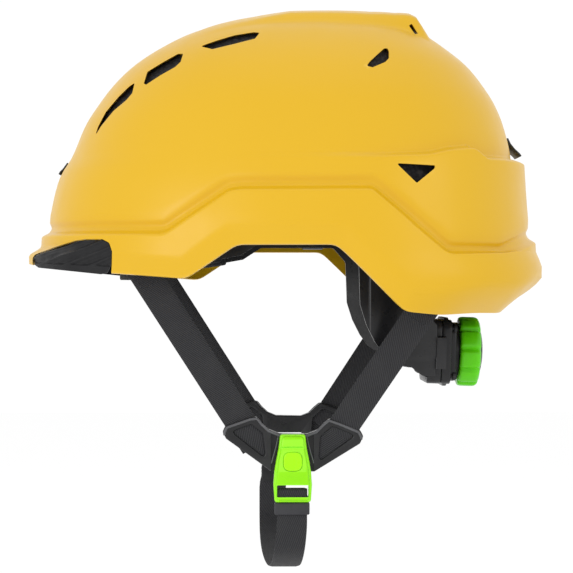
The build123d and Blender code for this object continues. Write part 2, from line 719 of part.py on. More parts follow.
def make_divider(left):
    """Y-shaped frame that joins the front and rear straps under the ear."""
    half = DIVIDER_THICK / 2
    with BuildPart() as frame:
        add(side_prism(DIVIDER_LINE, DIVIDER_X - half, DIVIDER_X + half, 1.2))
        add(side_prism(FRONT_WINDOW, 0, FAR, 0.8), mode=Mode.SUBTRACT)
        add(side_prism(REAR_WINDOW, 0, FAR, 0.8), mode=Mode.SUBTRACT)
        add(side_strap(FRONT_STRAP_TOP, FRONT_STRAP_LEAN, SLOT_GAP), mode=Mode.SUBTRACT)
        add(side_strap(REAR_STRAP_TOP, REAR_STRAP_LEAN, SLOT_GAP), mode=Mode.SUBTRACT)
        if left:
            channel = CLIP_WIDE / 2 + 0.5
            add(
                block(CLIP_X - 0.4, FAR, CLIP_Y - channel, CLIP_Y + channel, -140, CLIP_TOP + 0.6),
                mode=Mode.SUBTRACT,
            )
        else:
            window = WEB_WIDTH / 2 + 0.6
            add(
                block(0, FAR, CHIN_Y - window, CHIN_Y + window, DIVIDER_BOTTOM - 1, HINGE_Z + 5.0),
                mode=Mode.SUBTRACT,
            )
            with Locations(Location((DIVIDER_X, CHIN_Y, HINGE_Z), (90, 0, 0))):
                Cylinder(HINGE_RADIUS, 2 * window + 2)
    return frame.part if left else mirrored(frame.part)


def chin_path_solid():
    """The chin strap's hanging loop, from the buckle side to the hinge side."""
    left_x, right_x = STRAP_X, DIVIDER_X
    foot_z = LEG_FOOT_Z
    half_span = (left_x + right_x) / 2
    middle = (left_x - right_x) / 2
    drop = CHIN_DROP + foot_z - WEB_THICK / 2
    y_face = CHIN_Y - WEB_WIDTH / 2
    with BuildPart() as strap:
        with BuildSketch(Plane.XZ.offset(-y_face)):
            for grow, mode in ((WEB_THICK / 2, Mode.ADD), (-WEB_THICK / 2, Mode.SUBTRACT)):
                with BuildLine():
                    EllipticalCenterArc(
                        (middle, foot_z), half_span + grow, drop + grow, start_angle=180, arc_size=180
                    )
                    Line((middle - half_span - grow, foot_z), (middle + half_span + grow, foot_z))
                make_face(mode=mode)
            with Locations((left_x, (foot_z + CLIP_BOTTOM + 8) / 2)):
                Rectangle(WEB_THICK, CLIP_BOTTOM + 8 - foot_z)
            leg_top = HINGE_Z - HINGE_RADIUS - 0.4
            with Locations((-right_x, (foot_z + leg_top) / 2)):
                Rectangle(WEB_THICK, leg_top - foot_z)
        extrude(amount=-WEB_WIDTH)
    return strap.part


def make_chin_strap():
    """Webbing loop under the chin; its right end is sewn round the divider's bar."""
    with BuildPart() as strap:
        add(chin_path_solid())
        with BuildSketch(Plane.XZ.offset(-(CHIN_Y - WEB_WIDTH / 2))):
            with Locations((-DIVIDER_X, HINGE_Z)):
                Circle(HINGE_RADIUS + 0.3 + WEB_THICK)
                Circle(HINGE_RADIUS + 0.3, mode=Mode.SUBTRACT)
        extrude(amount=-WEB_WIDTH)
    return strap.part


def make_buckle_clip():
    """Green buckle: a waisted tongue with a strap slot and a bar at its foot."""
    half_wide, half_narrow = CLIP_WIDE / 2, CLIP_NARROW / 2
    outline = [
        (CLIP_Y - half_narrow, CLIP_TOP), (CLIP_Y + half_narrow, CLIP_TOP),
        (CLIP_Y + half_narrow + 1.0, -112), (CLIP_Y + half_wide, -127),
        (CLIP_Y + half_wide - 0.8, CLIP_BOTTOM), (CLIP_Y - half_wide + 0.8, CLIP_BOTTOM),
        (CLIP_Y - half_wide, -127), (CLIP_Y - half_narrow - 1.0, -112),
    ]
    with BuildPart() as clip:
        add(side_prism(outline, CLIP_X, CLIP_X + CLIP_THICK, 1.4))
        add(
            block(CLIP_X + 4.2, FAR, CLIP_Y - 7.6, CLIP_Y + 7.6, -137.6, -131.2),
            mode=Mode.SUBTRACT,
        )
        add(
            block(
                STRAP_X - WEB_THICK / 2 - 0.3, STRAP_X + WEB_THICK / 2 + 0.3,
                CHIN_Y - WEB_WIDTH / 2 - 0.4, CHIN_Y + WEB_WIDTH / 2 + 0.4,
                CLIP_BOTTOM - 5, CLIP_BOTTOM + 8 + CLIP_TRAVEL + 0.5,
            ),
            mode=Mode.SUBTRACT,
        )
        with BuildSketch(Plane.YZ.offset(CLIP_X + CLIP_THICK - 2.6)):
            with Locations((CLIP_Y, -118.6)):
                RectangleRounded(10.4, 10.8, 4.6)
        extrude(amount=10, mode=Mode.SUBTRACT)
    return clip.part


def make_clip_button():
    """The press area of the buckle."""
    with BuildPart() as button:
        with BuildSketch(Plane.YZ.offset(CLIP_X + CLIP_THICK - 1.2)):
            with Locations((CLIP_Y, -118.6)):
                RectangleRounded(9.9, 10.3, 4.4)
        extrude(amount=1.5)
        fillet(button.edges().group_by(Axis.X)[-1], radius=0.6)
    return button.part


def web_sleeve(x, z_from, z_to, wall, width):
    """A closed sleeve round the chin webbing, on a strap whose middle plane is at x."""
    gap = 0.3
    outer = block(
        x - WEB_THICK / 2 - gap - wall, x + WEB_THICK / 2 + gap + wall,
        CHIN_Y - width / 2, CHIN_Y + width / 2, z_from, z_to,
    )
    inner = block(
        x - WEB_THICK / 2 - gap, x + WEB_THICK / 2 + gap,
        CHIN_Y - WEB_WIDTH / 2 - gap, CHIN_Y + WEB_WIDTH / 2 + gap, z_from - 1, z_to + 1,
    )
    return outer - inner


# ---------------------------------------------------------------- build and write
def write(part, name):
    part.label = name
    export_step(part, f"parts/{name}.step")


def write_pair(part, name):
    """A piece and its mirror image, on the left and on the right."""
    write(part, f"{name}_left")
    write(mirrored(part), f"{name}_right")


def main():
    os.makedirs("parts", exist_ok=True)
    write(make_shell(), "shell")
    write(make_liner(), "foam_liner")
    write_pair(make_brim_insert(), "brim_insert")
    write(make_lamp_clip(True), "lamp_clip_front")
    write(make_lamp_clip(False), "lamp_clip_rear")
    write(make_crown_pad(-58, -28), "crown_pad_front")
    write(make_crown_pad(-8, 34), "crown_pad_middle")
    write(make_crown_pad(52, 78), "crown_pad_rear")
    write(make_headband_front(), "headband_front")
    write(make_brow_pad(), "brow_pad")
    for left, side in ((True, "left"), (False, "right")):
        write(make_hanger(-64, -54, left), f"hanger_front_{side}")
        write(make_hanger(12, 24, left), f"hanger_temple_{side}")
    write_pair(make_pivot_pin(), "pivot_pin")
    write_pair(make_nape_arm(), "nape_arm")
    write(make_rack(True), "rack_strip_left")
    write(make_rack(False), "rack_strip_right")
    write(make_pinion(), "pinion")
    write(make_ratchet_base(), "ratchet_base")
    write(make_ratchet_cover(), "ratchet_cover")
    write(make_cover_screws(), "cover_screws")
    write(make_click_spring(), "click_spring")
    write(make_knob(), "knob")
    write(make_knob_cap(), "knob_cap")
    write(make_nape_pad(), "nape_pad")
    write_pair(make_anchor(FRONT_STRAP_TOP, FRONT_STRAP_LEAN), "anchor_front")
    write_pair(make_anchor(REAR_STRAP_TOP, REAR_STRAP_LEAN), "anchor_rear")
    write(make_anchor_screws(), "anchor_screws")
    write_pair(side_strap(FRONT_STRAP_TOP, FRONT_STRAP_LEAN), "strap_front")
    write_pair(side_strap(REAR_STRAP_TOP, REAR_STRAP_LEAN), "strap_rear")
    write(make_divider(True), "divider_left")
    write(make_divider(False), "divider_right")
    write(make_chin_strap(), "chin_strap")
    write(make_buckle_clip(), "buckle_clip")
    write(make_clip_button(), "clip_button")
    write(web_sleeve(STRAP_X, -147.0, -140.6, 1.2, 18.6), "strap_sleeve")
    write(web_sleeve(-DIVIDER_X, -144.5, -134.5, 1.0, 18.4), "strap_keeper")


main()
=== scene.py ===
"""Looks of the arborist helmet: mesh-code shell, webbing harness, green dial and buckle."""

import math

import bmesh
import bpy
import numpy as np
from mathutils import Matrix, Vector


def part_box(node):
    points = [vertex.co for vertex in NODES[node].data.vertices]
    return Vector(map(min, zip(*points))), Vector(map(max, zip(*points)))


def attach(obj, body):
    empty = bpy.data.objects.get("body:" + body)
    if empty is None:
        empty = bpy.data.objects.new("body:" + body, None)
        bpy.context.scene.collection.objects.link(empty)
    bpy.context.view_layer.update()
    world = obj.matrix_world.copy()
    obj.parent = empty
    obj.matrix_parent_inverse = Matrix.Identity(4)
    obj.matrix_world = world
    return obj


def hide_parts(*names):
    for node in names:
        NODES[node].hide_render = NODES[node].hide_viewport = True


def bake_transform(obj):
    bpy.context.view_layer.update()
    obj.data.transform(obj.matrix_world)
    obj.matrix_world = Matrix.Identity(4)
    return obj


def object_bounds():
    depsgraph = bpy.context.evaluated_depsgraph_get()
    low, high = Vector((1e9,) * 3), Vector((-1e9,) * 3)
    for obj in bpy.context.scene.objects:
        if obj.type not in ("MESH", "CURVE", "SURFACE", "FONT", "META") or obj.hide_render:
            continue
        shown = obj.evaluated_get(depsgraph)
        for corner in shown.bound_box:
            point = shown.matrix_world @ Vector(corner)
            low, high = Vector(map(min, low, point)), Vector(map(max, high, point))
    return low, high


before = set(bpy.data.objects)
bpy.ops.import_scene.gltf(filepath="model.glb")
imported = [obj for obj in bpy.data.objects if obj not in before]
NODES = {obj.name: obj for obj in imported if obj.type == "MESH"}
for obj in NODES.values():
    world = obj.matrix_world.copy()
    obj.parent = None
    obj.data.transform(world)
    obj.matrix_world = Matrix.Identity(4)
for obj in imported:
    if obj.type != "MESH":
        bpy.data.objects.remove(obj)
cad_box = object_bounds()
MM = 0.001


# ---------------------------------------------------------------- small geometry helpers
def smooth(x):
    """Smooth step from 0 to 1."""
    x = np.clip(x, 0.0, 1.0)
    return x * x * (3 - 2 * x)


def pchip(xs, ys, x):
    """Monotone cubic through (xs, ys); each end takes the slope of its end chord."""
    xs, ys = np.asarray(xs, float), np.asarray(ys, float)
    h = np.diff(xs)
    d = np.diff(ys) / h
    m = np.zeros_like(ys)
    for i in range(1, len(ys) - 1):
        if d[i - 1] * d[i] > 0:
            w1, w2 = 2 * h[i] + h[i - 1], h[i] + 2 * h[i - 1]
            m[i] = (w1 + w2) / (w1 / d[i - 1] + w2 / d[i])
    m[0], m[-1] = d[0], d[-1]
    i = np.clip(np.searchsorted(xs, x) - 1, 0, len(xs) - 2)
    t = (x - xs[i]) / h[i]
    return (
        (2 * t**3 - 3 * t**2 + 1) * ys[i]
        + (t**3 - 2 * t**2 + t) * h[i] * m[i]
        + (3 * t**2 - 2 * t**3) * ys[i + 1]
        + (t**3 - t**2) * h[i] * m[i + 1]
    )


def soft_line(points, radius):
    """A line over y through (y, z) points, its corners rounded by radius."""
    y = np.arange(-210, 210.1, 0.5)
    z = np.interp(y, [p[0] for p in points], [p[1] for p in points])
    n = int(2 * radius / 0.5) + 1
    kernel = np.hanning(n + 2)[1:-1]
    padded = np.pad(z, n // 2, mode="edge")
    z = np.convolve(padded, kernel / kernel.sum(), mode="valid")[: len(y)]
    return lambda at: np.interp(at, y, z)


def new_mesh(name, verts, faces, smooth_shade=True, uv=None):
    """A mesh object from points in mm and faces; uv is one pair for each vertex, in mm."""
    mesh = bpy.data.meshes.new(name)
    mesh.from_pydata([tuple(c * MM for c in v) for v in verts], [], [tuple(f) for f in faces])
    if uv is not None:
        layer = mesh.uv_layers.new(name="cloth")
        loops = np.zeros(len(mesh.loops), dtype=np.int32)
        mesh.loops.foreach_get("vertex_index", loops)
        layer.data.foreach_set("uv", np.asarray(uv, float)[loops].ravel() * MM)
    mesh.polygons.foreach_set("use_smooth", [smooth_shade] * len(mesh.polygons))
    mesh.update()
    obj = bpy.data.objects.new(name, mesh)
    bpy.context.scene.collection.objects.link(obj)
    return obj


def grid_faces(rows, cols, closed, start=0, flip=False):
    """Quads of a rows by cols grid of points; closed joins the last column to the first."""
    faces = []
    for r in range(rows - 1):
        for c in range(cols if closed else cols - 1):
            a = start + r * cols + c
            b = start + r * cols + (c + 1) % cols
            quad = (a, b, b + cols, a + cols)
            faces.append(quad[::-1] if flip else quad)
    return faces


def use_modifiers(obj):
    """Applies every modifier of obj to its mesh."""
    graph = bpy.context.evaluated_depsgraph_get()
    mesh = bpy.data.meshes.new_from_object(obj.evaluated_get(graph))
    obj.modifiers.clear()
    obj.data = mesh
    return obj


def sharp_by_angle(obj, degrees):
    """Smooth shading with hard edges over an angle."""
    obj.data.polygons.foreach_set("use_smooth", [True] * len(obj.data.polygons))
    obj.data.set_sharp_from_angle(angle=math.radians(degrees))


def bevelled(obj, width, segments=3, angle=35):
    """Rounds the hard edges of obj."""
    mod = obj.modifiers.new("edges", "BEVEL")
    mod.width = width * MM
    mod.segments = segments
    mod.limit_method = "ANGLE"
    mod.angle_limit = math.radians(angle)
    mod.harden_normals = False
    use_modifiers(obj)
    sharp_by_angle(obj, 50)
    return obj


def rounded(points, radius, steps=5):
    """A closed outline with its corners rounded."""
    out = []
    count = len(points)
    for i in range(count):
        p = Vector(points[i])
        a = (Vector(points[i - 1]) - p)
        b = (Vector(points[(i + 1) % count]) - p)
        half = a.angle(b) / 2
        cut = min(radius / math.tan(half), 0.45 * a.length, 0.45 * b.length)
        start, end = p + a.normalized() * cut, p + b.normalized() * cut
        for k in range(steps + 1):
            t = k / steps
            out.append(tuple((1 - t) ** 2 * start + 2 * t * (1 - t) * p + t * t * end))
    return out


TO_SIDE = Matrix(((0, 0, 1, 0), (1, 0, 0, 0), (0, 1, 0, 0), (0, 0, 0, 1)))


def plate(name, outline, holes, x_from, x_to, bevel=0.6, corner=1.0):
    """A flat plate over a (y, z) outline with holes, x_from to x_to, its edges rounded."""
    curve = bpy.data.curves.new(name, "CURVE")
    curve.dimensions = "2D"
    curve.fill_mode = "BOTH"
    curve.extrude = ((x_to - x_from) / 2 - bevel) * MM
    curve.bevel_depth = bevel * MM
    curve.bevel_resolution = 2
    curve.offset = -bevel * MM
    for loop in [outline] + list(holes):
        points = rounded(loop, corner)
        spline = curve.splines.new("POLY")
        spline.points.add(len(points) - 1)
        spline.use_cyclic_u = True
        for point, (y, z) in zip(spline.points, points):
            point.co = (y * MM, z * MM, 0, 1)
    holder = bpy.data.objects.new(name, curve)
    bpy.context.scene.collection.objects.link(holder)
    graph = bpy.context.evaluated_depsgraph_get()
    mesh = bpy.data.meshes.new_from_object(holder.evaluated_get(graph))
    bpy.data.objects.remove(holder)
    mesh.transform(TO_SIDE)
    mesh.transform(Matrix.Translation(((x_from + x_to) / 2 * MM, 0, 0)))
    obj = bpy.data.objects.new(name, mesh)
    bpy.context.scene.collection.objects.link(obj)
    weld(obj)
    sharp_by_angle(obj, 40)
    return obj


def weld(obj, distance=0.02):
    """Merges doubled points and makes the faces point outward."""
    bm = bmesh.new()
    bm.from_mesh(obj.data)
    bmesh.ops.remove_doubles(bm, verts=bm.verts, dist=distance * MM)
    bmesh.ops.recalc_face_normals(bm, faces=bm.faces)
    bm.to_mesh(obj.data)
    bm.free()


def mirror_copy(obj, name):
    """The same mesh on the other side of the head."""
    mesh = obj.data.copy()
    mesh.transform(Matrix.Diagonal((-1, 1, 1, 1)))
    mesh.flip_normals()
    copy = bpy.data.objects.new(name, mesh)
    bpy.context.scene.collection.objects.link(copy)
    return copy


def place(obj, body, material, *replaced, slot=None):
    """Puts a piece on its body with its material, standing for the CAD nodes named."""
    if material is not None:
        obj.data.materials.clear()
        obj.data.materials.append(material)
    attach(obj, body)
    if replaced:
        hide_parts(*replaced)
    return obj


def boolean(obj, cutters, operation="DIFFERENCE"):
    """Cuts obj with closed meshes, then drops them."""
    for cutter in cutters:
        mod = obj.modifiers.new("cut", "BOOLEAN")
        mod.operation = operation
        mod.solver = "EXACT"
        mod.object = cutter
    use_modifiers(obj)
    for cutter in cutters:
        bpy.data.objects.remove(cutter)
    return obj


def prism(name, outline, x_from, x_to, corner=0.9):
    """A plain prism along X over a (y, z) outline."""
    points = rounded(outline, corner)
    count = len(points)
    verts = [(x_from, y, z) for y, z in points] + [(x_to, y, z) for y, z in points]
    faces = [tuple(range(count))[::-1], tuple(range(count, 2 * count))]
    faces += [(i, (i + 1) % count, count + (i + 1) % count, count + i) for i in range(count)]
    obj = new_mesh(name, verts, faces, smooth_shade=False)
    weld(obj)
    return obj


# ---------------------------------------------------------------- materials
class Shader:
    """A small wrapper that builds one procedural material."""

    def __init__(self, name, color, roughness, **sockets):
        self.material = bpy.data.materials.new(name)
        self.material.use_nodes = True
        self.tree = self.material.node_tree
        self.bsdf = self.tree.nodes["Principled BSDF"]
        self.bsdf.inputs["Base Color"].default_value = (*color, 1)
        self.bsdf.inputs["Roughness"].default_value = roughness
        for key, value in sockets.items():
            self.bsdf.inputs[key.replace("_", " ")].default_value = value
        self.color = color
        self.height = None

    def node(self, kind, **inputs):
        made = self.tree.nodes.new(kind)
        for key, value in inputs.items():
            made.inputs[key.replace("_", " ")].default_value = value
        return made

    def link(self, a, b):
        self.tree.links.new(a, b)

    def position(self):
        return self.node("ShaderNodeTexCoord").outputs["Object"]

    def cloth(self):
        made = self.node("ShaderNodeUVMap")
        made.uv_map = "cloth"
        return made.outputs["UV"]

    def noise(self, scale, detail=3.0, roughness=0.55, where=None):
        made = self.node("ShaderNodeTexNoise", Scale=scale, Detail=detail, Roughness=roughness)
        self.link(where or self.position(), made.inputs["Vector"])
        return made.outputs["Fac"]

    def voronoi(self, scale, feature="F1", where=None, randomness=1.0):
        made = self.node("ShaderNodeTexVoronoi", Scale=scale, Randomness=randomness)
        made.feature = feature
        self.link(where or self.position(), made.inputs["Vector"])
        return made.outputs["Distance"]

    def wave(self, scale, where, rotation=0.0, profile="SIN", distortion=0.0):
        turn = self.node("ShaderNodeMapping")
        turn.inputs["Rotation"].default_value = (0, 0, rotation)
        self.link(where, turn.inputs["Vector"])
        made = self.node("ShaderNodeTexWave", Scale=scale, Distortion=distortion)
        made.wave_profile = profile
        self.link(turn.outputs["Vector"], made.inputs["Vector"])
        return made.outputs["Fac"]

    def ramp(self, value, low, high, a, b):
        made = self.node("ShaderNodeMapRange")
        made.inputs["From Min"].default_value = low
        made.inputs["From Max"].default_value = high
        made.inputs["To Min"].default_value = a
        made.inputs["To Max"].default_value = b
        self.link(value, made.inputs["Value"])
        return made.outputs["Result"]

    def math(self, kind, a, b):
        made = self.node("ShaderNodeMath")
        made.operation = kind
        for socket, value in zip(made.inputs, (a, b)):
            if isinstance(value, (int, float)):
                socket.default_value = value
            else:
                self.link(value, socket)
        return made.outputs["Value"]

    def tint(self, fac, other):
        """Mixes the base colour towards other where fac is high."""
        made = self.node("ShaderNodeMix")
        made.data_type = "RGBA"
        source = self.bsdf.inputs["Base Color"]
        if source.links:
            self.link(source.links[0].from_socket, made.inputs["A"])
        else:
            made.inputs["A"].default_value = (*self.color, 1)
        made.inputs["B"].default_value = (*other, 1)
        self.link(fac, made.inputs["Factor"])
        self.link(made.outputs["Result"], source)

    def rough(self, value):
        self.link(value, self.bsdf.inputs["Roughness"])

    def bump(self, height, distance, strength=1.0):
        """Adds a bump of so many mm under the ones before it."""
        made = self.node("ShaderNodeBump", Strength=strength, Distance=distance * MM)
        self.link(height, made.inputs["Height"])
        normal = self.bsdf.inputs["Normal"]
        if normal.links:
            self.link(normal.links[0].from_socket, made.inputs["Normal"])
        self.link(made.outputs["Normal"], normal)

    def worn_edges(self, other, amount=0.5):
        """Lightens the exposed edges."""
        geometry = self.node("ShaderNodeNewGeometry")
        edge = self.ramp(geometry.outputs["Pointiness"], 0.52, 0.62, 0.0, amount)
        self.tint(edge, other)


def shell_material():
    s = Shader("shell_yellow", (0.66, 0.385, 0.006), 0.33, Coat_Weight=0.08, Coat_Roughness=0.22)
    s.bsdf.inputs["Specular IOR Level"].default_value = 0.3
    s.tint(s.ramp(s.noise(9, 2), 0.35, 0.7, 0.0, 0.2), (0.69, 0.43, 0.02))
    s.tint(s.ramp(s.noise(420, 4, 0.7), 0.62, 0.8, 0.0, 0.10), (0.50, 0.28, 0.005))
    s.worn_edges((0.80, 0.56, 0.12), 0.35)
    s.rough(s.ramp(s.noise(60, 4, 0.6), 0.3, 0.75, 0.29, 0.40))
    s.bump(s.noise(900, 2), 0.012)
    s.bump(s.noise(35, 2), 0.03)
    return s.material


def foam_material():
    s = Shader("liner_foam", (0.022, 0.022, 0.025), 0.72)
    s.bsdf.inputs["Specular IOR Level"].default_value = 0.2
    cells = s.voronoi(420)
    s.tint(s.ramp(cells, 0.35, 0.7, 0.0, 0.7), (0.006, 0.006, 0.007))
    s.tint(s.ramp(s.noise(160, 2), 0.55, 0.75, 0.0, 0.5), (0.09, 0.09, 0.095))
    s.bump(s.ramp(cells, 0.1, 0.7, 1.0, 0.0), 0.6)
    s.bump(s.noise(2500, 2), 0.05)
    return s.material


def plastic_material(name, color, roughness, grain, wear, coat=0.0):
    s = Shader(name, color, roughness, Coat_Weight=coat, Coat_Roughness=0.15)
    s.bsdf.inputs["Specular IOR Level"].default_value = 0.25
    lighter = tuple(min(1.0, c * 1.7 + 0.012) for c in color)
    s.tint(s.ramp(s.noise(70, 3), 0.4, 0.75, 0.0, 0.35), lighter)
    s.worn_edges(tuple(min(1.0, c * 2.2 + 0.03) for c in color), wear)
    s.rough(s.ramp(s.noise(180, 4), 0.3, 0.7, roughness * 0.85, min(1.0, roughness * 1.2)))
    s.bump(s.noise(1800, 3, 0.7), grain)
    return s.material


def green_material(name, color, deep):
    s = Shader(name, color, 0.3, Coat_Weight=0.05, Coat_Roughness=0.12)
    s.bsdf.inputs["Specular IOR Level"].default_value = 0.18
    s.tint(s.ramp(s.noise(45, 3), 0.3, 0.75, 0.0, 0.45), deep)
    s.worn_edges(tuple(min(1.0, c * 1.25 + 0.06) for c in color), 0.4)
    s.rough(s.ramp(s.noise(150, 3), 0.3, 0.7, 0.24, 0.36))
    s.bump(s.noise(1200, 2), 0.012)
    return s.material


def webbing_material(name="webbing", ribs=False):
    s = Shader(name, (0.018, 0.018, 0.020), 0.8, Sheen_Weight=0.05, Sheen_Roughness=0.5)
    s.bsdf.inputs["Specular IOR Level"].default_value = 0.2
    uv = s.cloth()
    if ribs:
        weave = s.wave(420, uv, 0.0)
        cross = s.wave(700, uv, math.pi / 2)
    else:
        weave = s.wave(330, uv, math.radians(24))
        cross = s.wave(520, uv, math.radians(90))
    both = s.math("ADD", s.math("MULTIPLY", weave, 0.7), s.math("MULTIPLY", cross, 0.3))
    s.tint(s.ramp(both, 0.3, 0.75, 0.0, 0.7), (0.052, 0.052, 0.055))
    s.tint(s.ramp(s.noise(60, 3), 0.5, 0.8, 0.0, 0.25), (0.05, 0.05, 0.05))
    s.bump(both, 0.2)
    s.bump(s.noise(2600, 2), 0.05)
    return s.material


def pad_material():
    s = Shader("pad_cloth", (0.014, 0.014, 0.016), 0.9, Sheen_Weight=0.08, Sheen_Roughness=0.6)
    s.bsdf.inputs["Specular IOR Level"].default_value = 0.2
    knit = s.voronoi(900, randomness=0.25)
    s.tint(s.ramp(knit, 0.2, 0.6, 0.0, 0.8), (0.006, 0.006, 0.007))
    s.tint(s.ramp(s.noise(90, 3), 0.5, 0.8, 0.0, 0.3), (0.05, 0.05, 0.053))
    s.bump(s.ramp(knit, 0.1, 0.6, 1.0, 0.0), 0.25)
    return s.material


def steel_material():
    s = Shader("zinc_steel", (0.42, 0.42, 0.44), 0.34, Metallic=1.0)
    s.tint(s.ramp(s.noise(600, 3), 0.4, 0.75, 0.0, 0.5), (0.25, 0.24, 0.23))
    s.bump(s.noise(2000, 2), 0.01)
    return s.material


YELLOW = shell_material()
FOAM = foam_material()
GLOSS = plastic_material("black_gloss", (0.012, 0.012, 0.013), 0.3, 0.008, 0.4, coat=0.05)
SATIN = plastic_material("black_satin", (0.012, 0.012, 0.013), 0.46, 0.02, 0.35)
SOFT = plastic_material("soft_black", (0.006, 0.006, 0.007), 0.5, 0.03, 0.3)
RUBBER = plastic_material("grey_rubber", (0.034, 0.034, 0.038), 0.55, 0.02, 0.3)
# Light grey for thin lines along edges of the black gloss dividers: painted highlight.
EDGE_HIGHLIGHT_GREY = plastic_material("painted_highlight_grey", (0.075, 0.075, 0.08), 0.35, 0.01, 0.3)
GREEN = green_material("green_plastic", (0.27, 0.74, 0.001), (0.20, 0.66, 0.001))
# The dial grip is the same green plastic as the buckle, given a darker green here: painted shade.
KNOB_GREEN_SHADED = green_material("dial_green_painted_shade", (0.11, 0.60, 0.004), (0.06, 0.46, 0.003))
LIME = green_material("lime_plastic", (0.36, 0.84, 0.004), (0.28, 0.78, 0.003))
WEB = webbing_material()
WEB_RIB = webbing_material("webbing_ribbed", ribs=True)
CLOTH = pad_material()
STEEL = steel_material()


# ---------------------------------------------------------------- shell surface, mm
RING_MIDDLE = 12.0
RING_POWER = 2.2
WALL = 2.6
STATIONS = [
    # height, front reach, rear reach, half width
    (-48.0, 134.0, 127.0, 104.0),
    (-20.0, 135.5, 133.9, 107.5),
    (-8.0, 134.9, 130.0, 107.3),
    (5.0, 134.2, 129.5, 107.0),
    (21.0, 131.6, 128.3, 105.0),
    (34.5, 127.9, 127.5, 102.5),
    (46.0, 121.2, 126.8, 99.5),
    (65.0, 113.0, 122.5, 92.0),
    (76.0, 106.0, 118.0, 86.5),
    (86.0, 98.5, 111.8, 80.0),
    (97.0, 87.5, 103.2, 71.0),
    (107.0, 73.0, 91.5, 60.0),
    (116.0, 55.5, 78.5, 46.0),
    (121.0, 40.0, 67.0, 33.5),
    (124.0, 22.0, 52.0, 19.0),
    (125.2, -16.0, 16.0, 0.0),
]
EDGE = soft_line(
    [
        (-200, -9), (-141, -13.4), (-96, -18.8), (-53, -22), (-27, -4.6), (24, -4.6), (58, -38),
        (78, -40.3), (200, -42),
    ],
    5,
)
BAND = soft_line(
    [
        (-200, 5.2), (-64, 3.0), (-31, 24.6), (-25, 25.4), (42, 25.4), (80, -8), (108, -8.2), (136, 4.2),
        (200, 5),
    ],
    3.5,
)
LEDGE = soft_line(
    [(-200, 43), (50, 42.5), (72, 43.6), (83, 46.5), (95, 48), (101, 43), (135, 44.5), (200, 45)],
    3,
)
_steps = np.array([0.0] + [math.hypot(b[0] - a[0], b[3] - a[3]) for a, b in zip(STATIONS, STATIONS[1:])])
STATION_S = np.cumsum(_steps)


def ring_at(s):
    """Height, front reach, rear reach and half width at profile lengths s."""
    return [pchip(STATION_S, [row[k] for row in STATIONS], s) for k in range(4)]


def base_point(angle, s):
    """A point of the plain dome; angle goes round the head, s up the profile."""
    z, front, rear, half = ring_at(s)
    middle = np.minimum(RING_MIDDLE, (rear - front) / 2 + RING_MIDDLE)
    across, along = np.cos(angle), np.sin(angle)
    x = half * np.sign(across) * np.abs(across) ** (2 / RING_POWER)
    reach = np.where(along > 0, rear - middle, front + middle)
    y = middle + reach * np.sign(along) * np.abs(along) ** (2 / RING_POWER)
    return np.stack([x, y, z + 0 * x], axis=-1)


def s_of_line(line, angle, shift=0.0):
    """Profile length where each column of the dome crosses a side line."""
    low = np.zeros_like(angle)
    high = np.full_like(angle, STATION_S[8])
    for _ in range(40):
        mid = (low + high) / 2
        p = base_point(angle, mid)
        above = p[..., 2] > line(p[..., 1]) + shift
        high = np.where(above, mid, high)
        low = np.where(above, low, mid)
    return (low + high) / 2


def slope_of(line, y):
    return (line(y + 0.75) - line(y - 0.75)) / 1.5


def relief(p):
    """How far the surface stands out from the plain dome at each point."""
    x, y, z = p[..., 0], p[..., 1], p[..., 2]
    under = (BAND(y) - z) / np.sqrt(1 + slope_of(BAND, y) ** 2)
    out = 3.5 * smooth(under / 3.4)
    out -= 1.7 * np.exp(-(((under + 2.2) / 2.4) ** 2))
    over_edge = (z - EDGE(y)) / np.sqrt(1 + slope_of(EDGE, y) ** 2)
    rear = smooth((y - 55) / 50)
    tail = smooth((y - 112) / 20)
    bevel_height = 11.0 + 6.5 * rear + 4.0 * tail
    bevel_slope = 0.30 + 0.42 * rear + 0.28 * tail - 0.22 * smooth((-y - 75) / 20)
    lack = bevel_height - over_edge
    out -= bevel_slope * np.where(lack > 0, np.sqrt(np.maximum(lack, 0) ** 2 + 1.0) - 1.0, 0)
    ledge = 7.0 * smooth((y + 4) / 128) + 0.5 * smooth((y + 40) / 30)
    out += ledge * smooth((LEDGE(y) + 1.2 - z) / 4.5)
    brim = 7.0 * smooth((-y - 92) / 36)
    out += brim * smooth((-3.6 - z) / 6.5)
    return out


RIDGE_Y = [-200, -48, -19, 2, 26, 47, 60, 69, 72.5, 80, 200]
RIDGE_RISE = [0, 0, 1.5, 3.9, 4.3, 4.7, 6.1, 8.2, 8.0, 0, 0]


def ridge_rise(p):
    """Height of the centre ridge above the dome."""
    x, y = np.abs(p[..., 0]), p[..., 1]
    half = 38 - 10 * smooth((y - 30) / 45)
    rise = np.interp(y, RIDGE_Y, RIDGE_RISE)
    return rise * (1 - smooth((x - half + 3.5) / 7.0)) * smooth((p[..., 2] - 60) / 20)


def shell_rows(angle):
    """Profile lengths of every row of every column, fine along the lines of the moulding."""
    edge = s_of_line(EDGE, angle)
    crease = s_of_line(EDGE, angle, 11.0)
    band_low = s_of_line(BAND, angle, -6.5)
    band_high = s_of_line(BAND, angle, 5.5)
    ledge_low = s_of_line(LEDGE, angle, -5.0)
    ledge_high = s_of_line(LEDGE, angle, 3.0)
    crease = np.minimum(crease, band_low - 0.8)
    ledge_low = np.maximum(ledge_low, band_high + 4.0)
    ledge_high = np.maximum(ledge_high, ledge_low + 5.0)
    top = np.full_like(angle, STATION_S[-1] - 0.35)
    stops = [edge, crease, band_low, band_high, ledge_low, ledge_high, top]
    counts = [8, 8, 24, 8, 14, 92]
    rows = [edge]
    for a, b, n in zip(stops, stops[1:], counts):
        for k in range(1, n + 1):
            rows.append(a + (b - a) * k / n)
    return np.stack(rows)


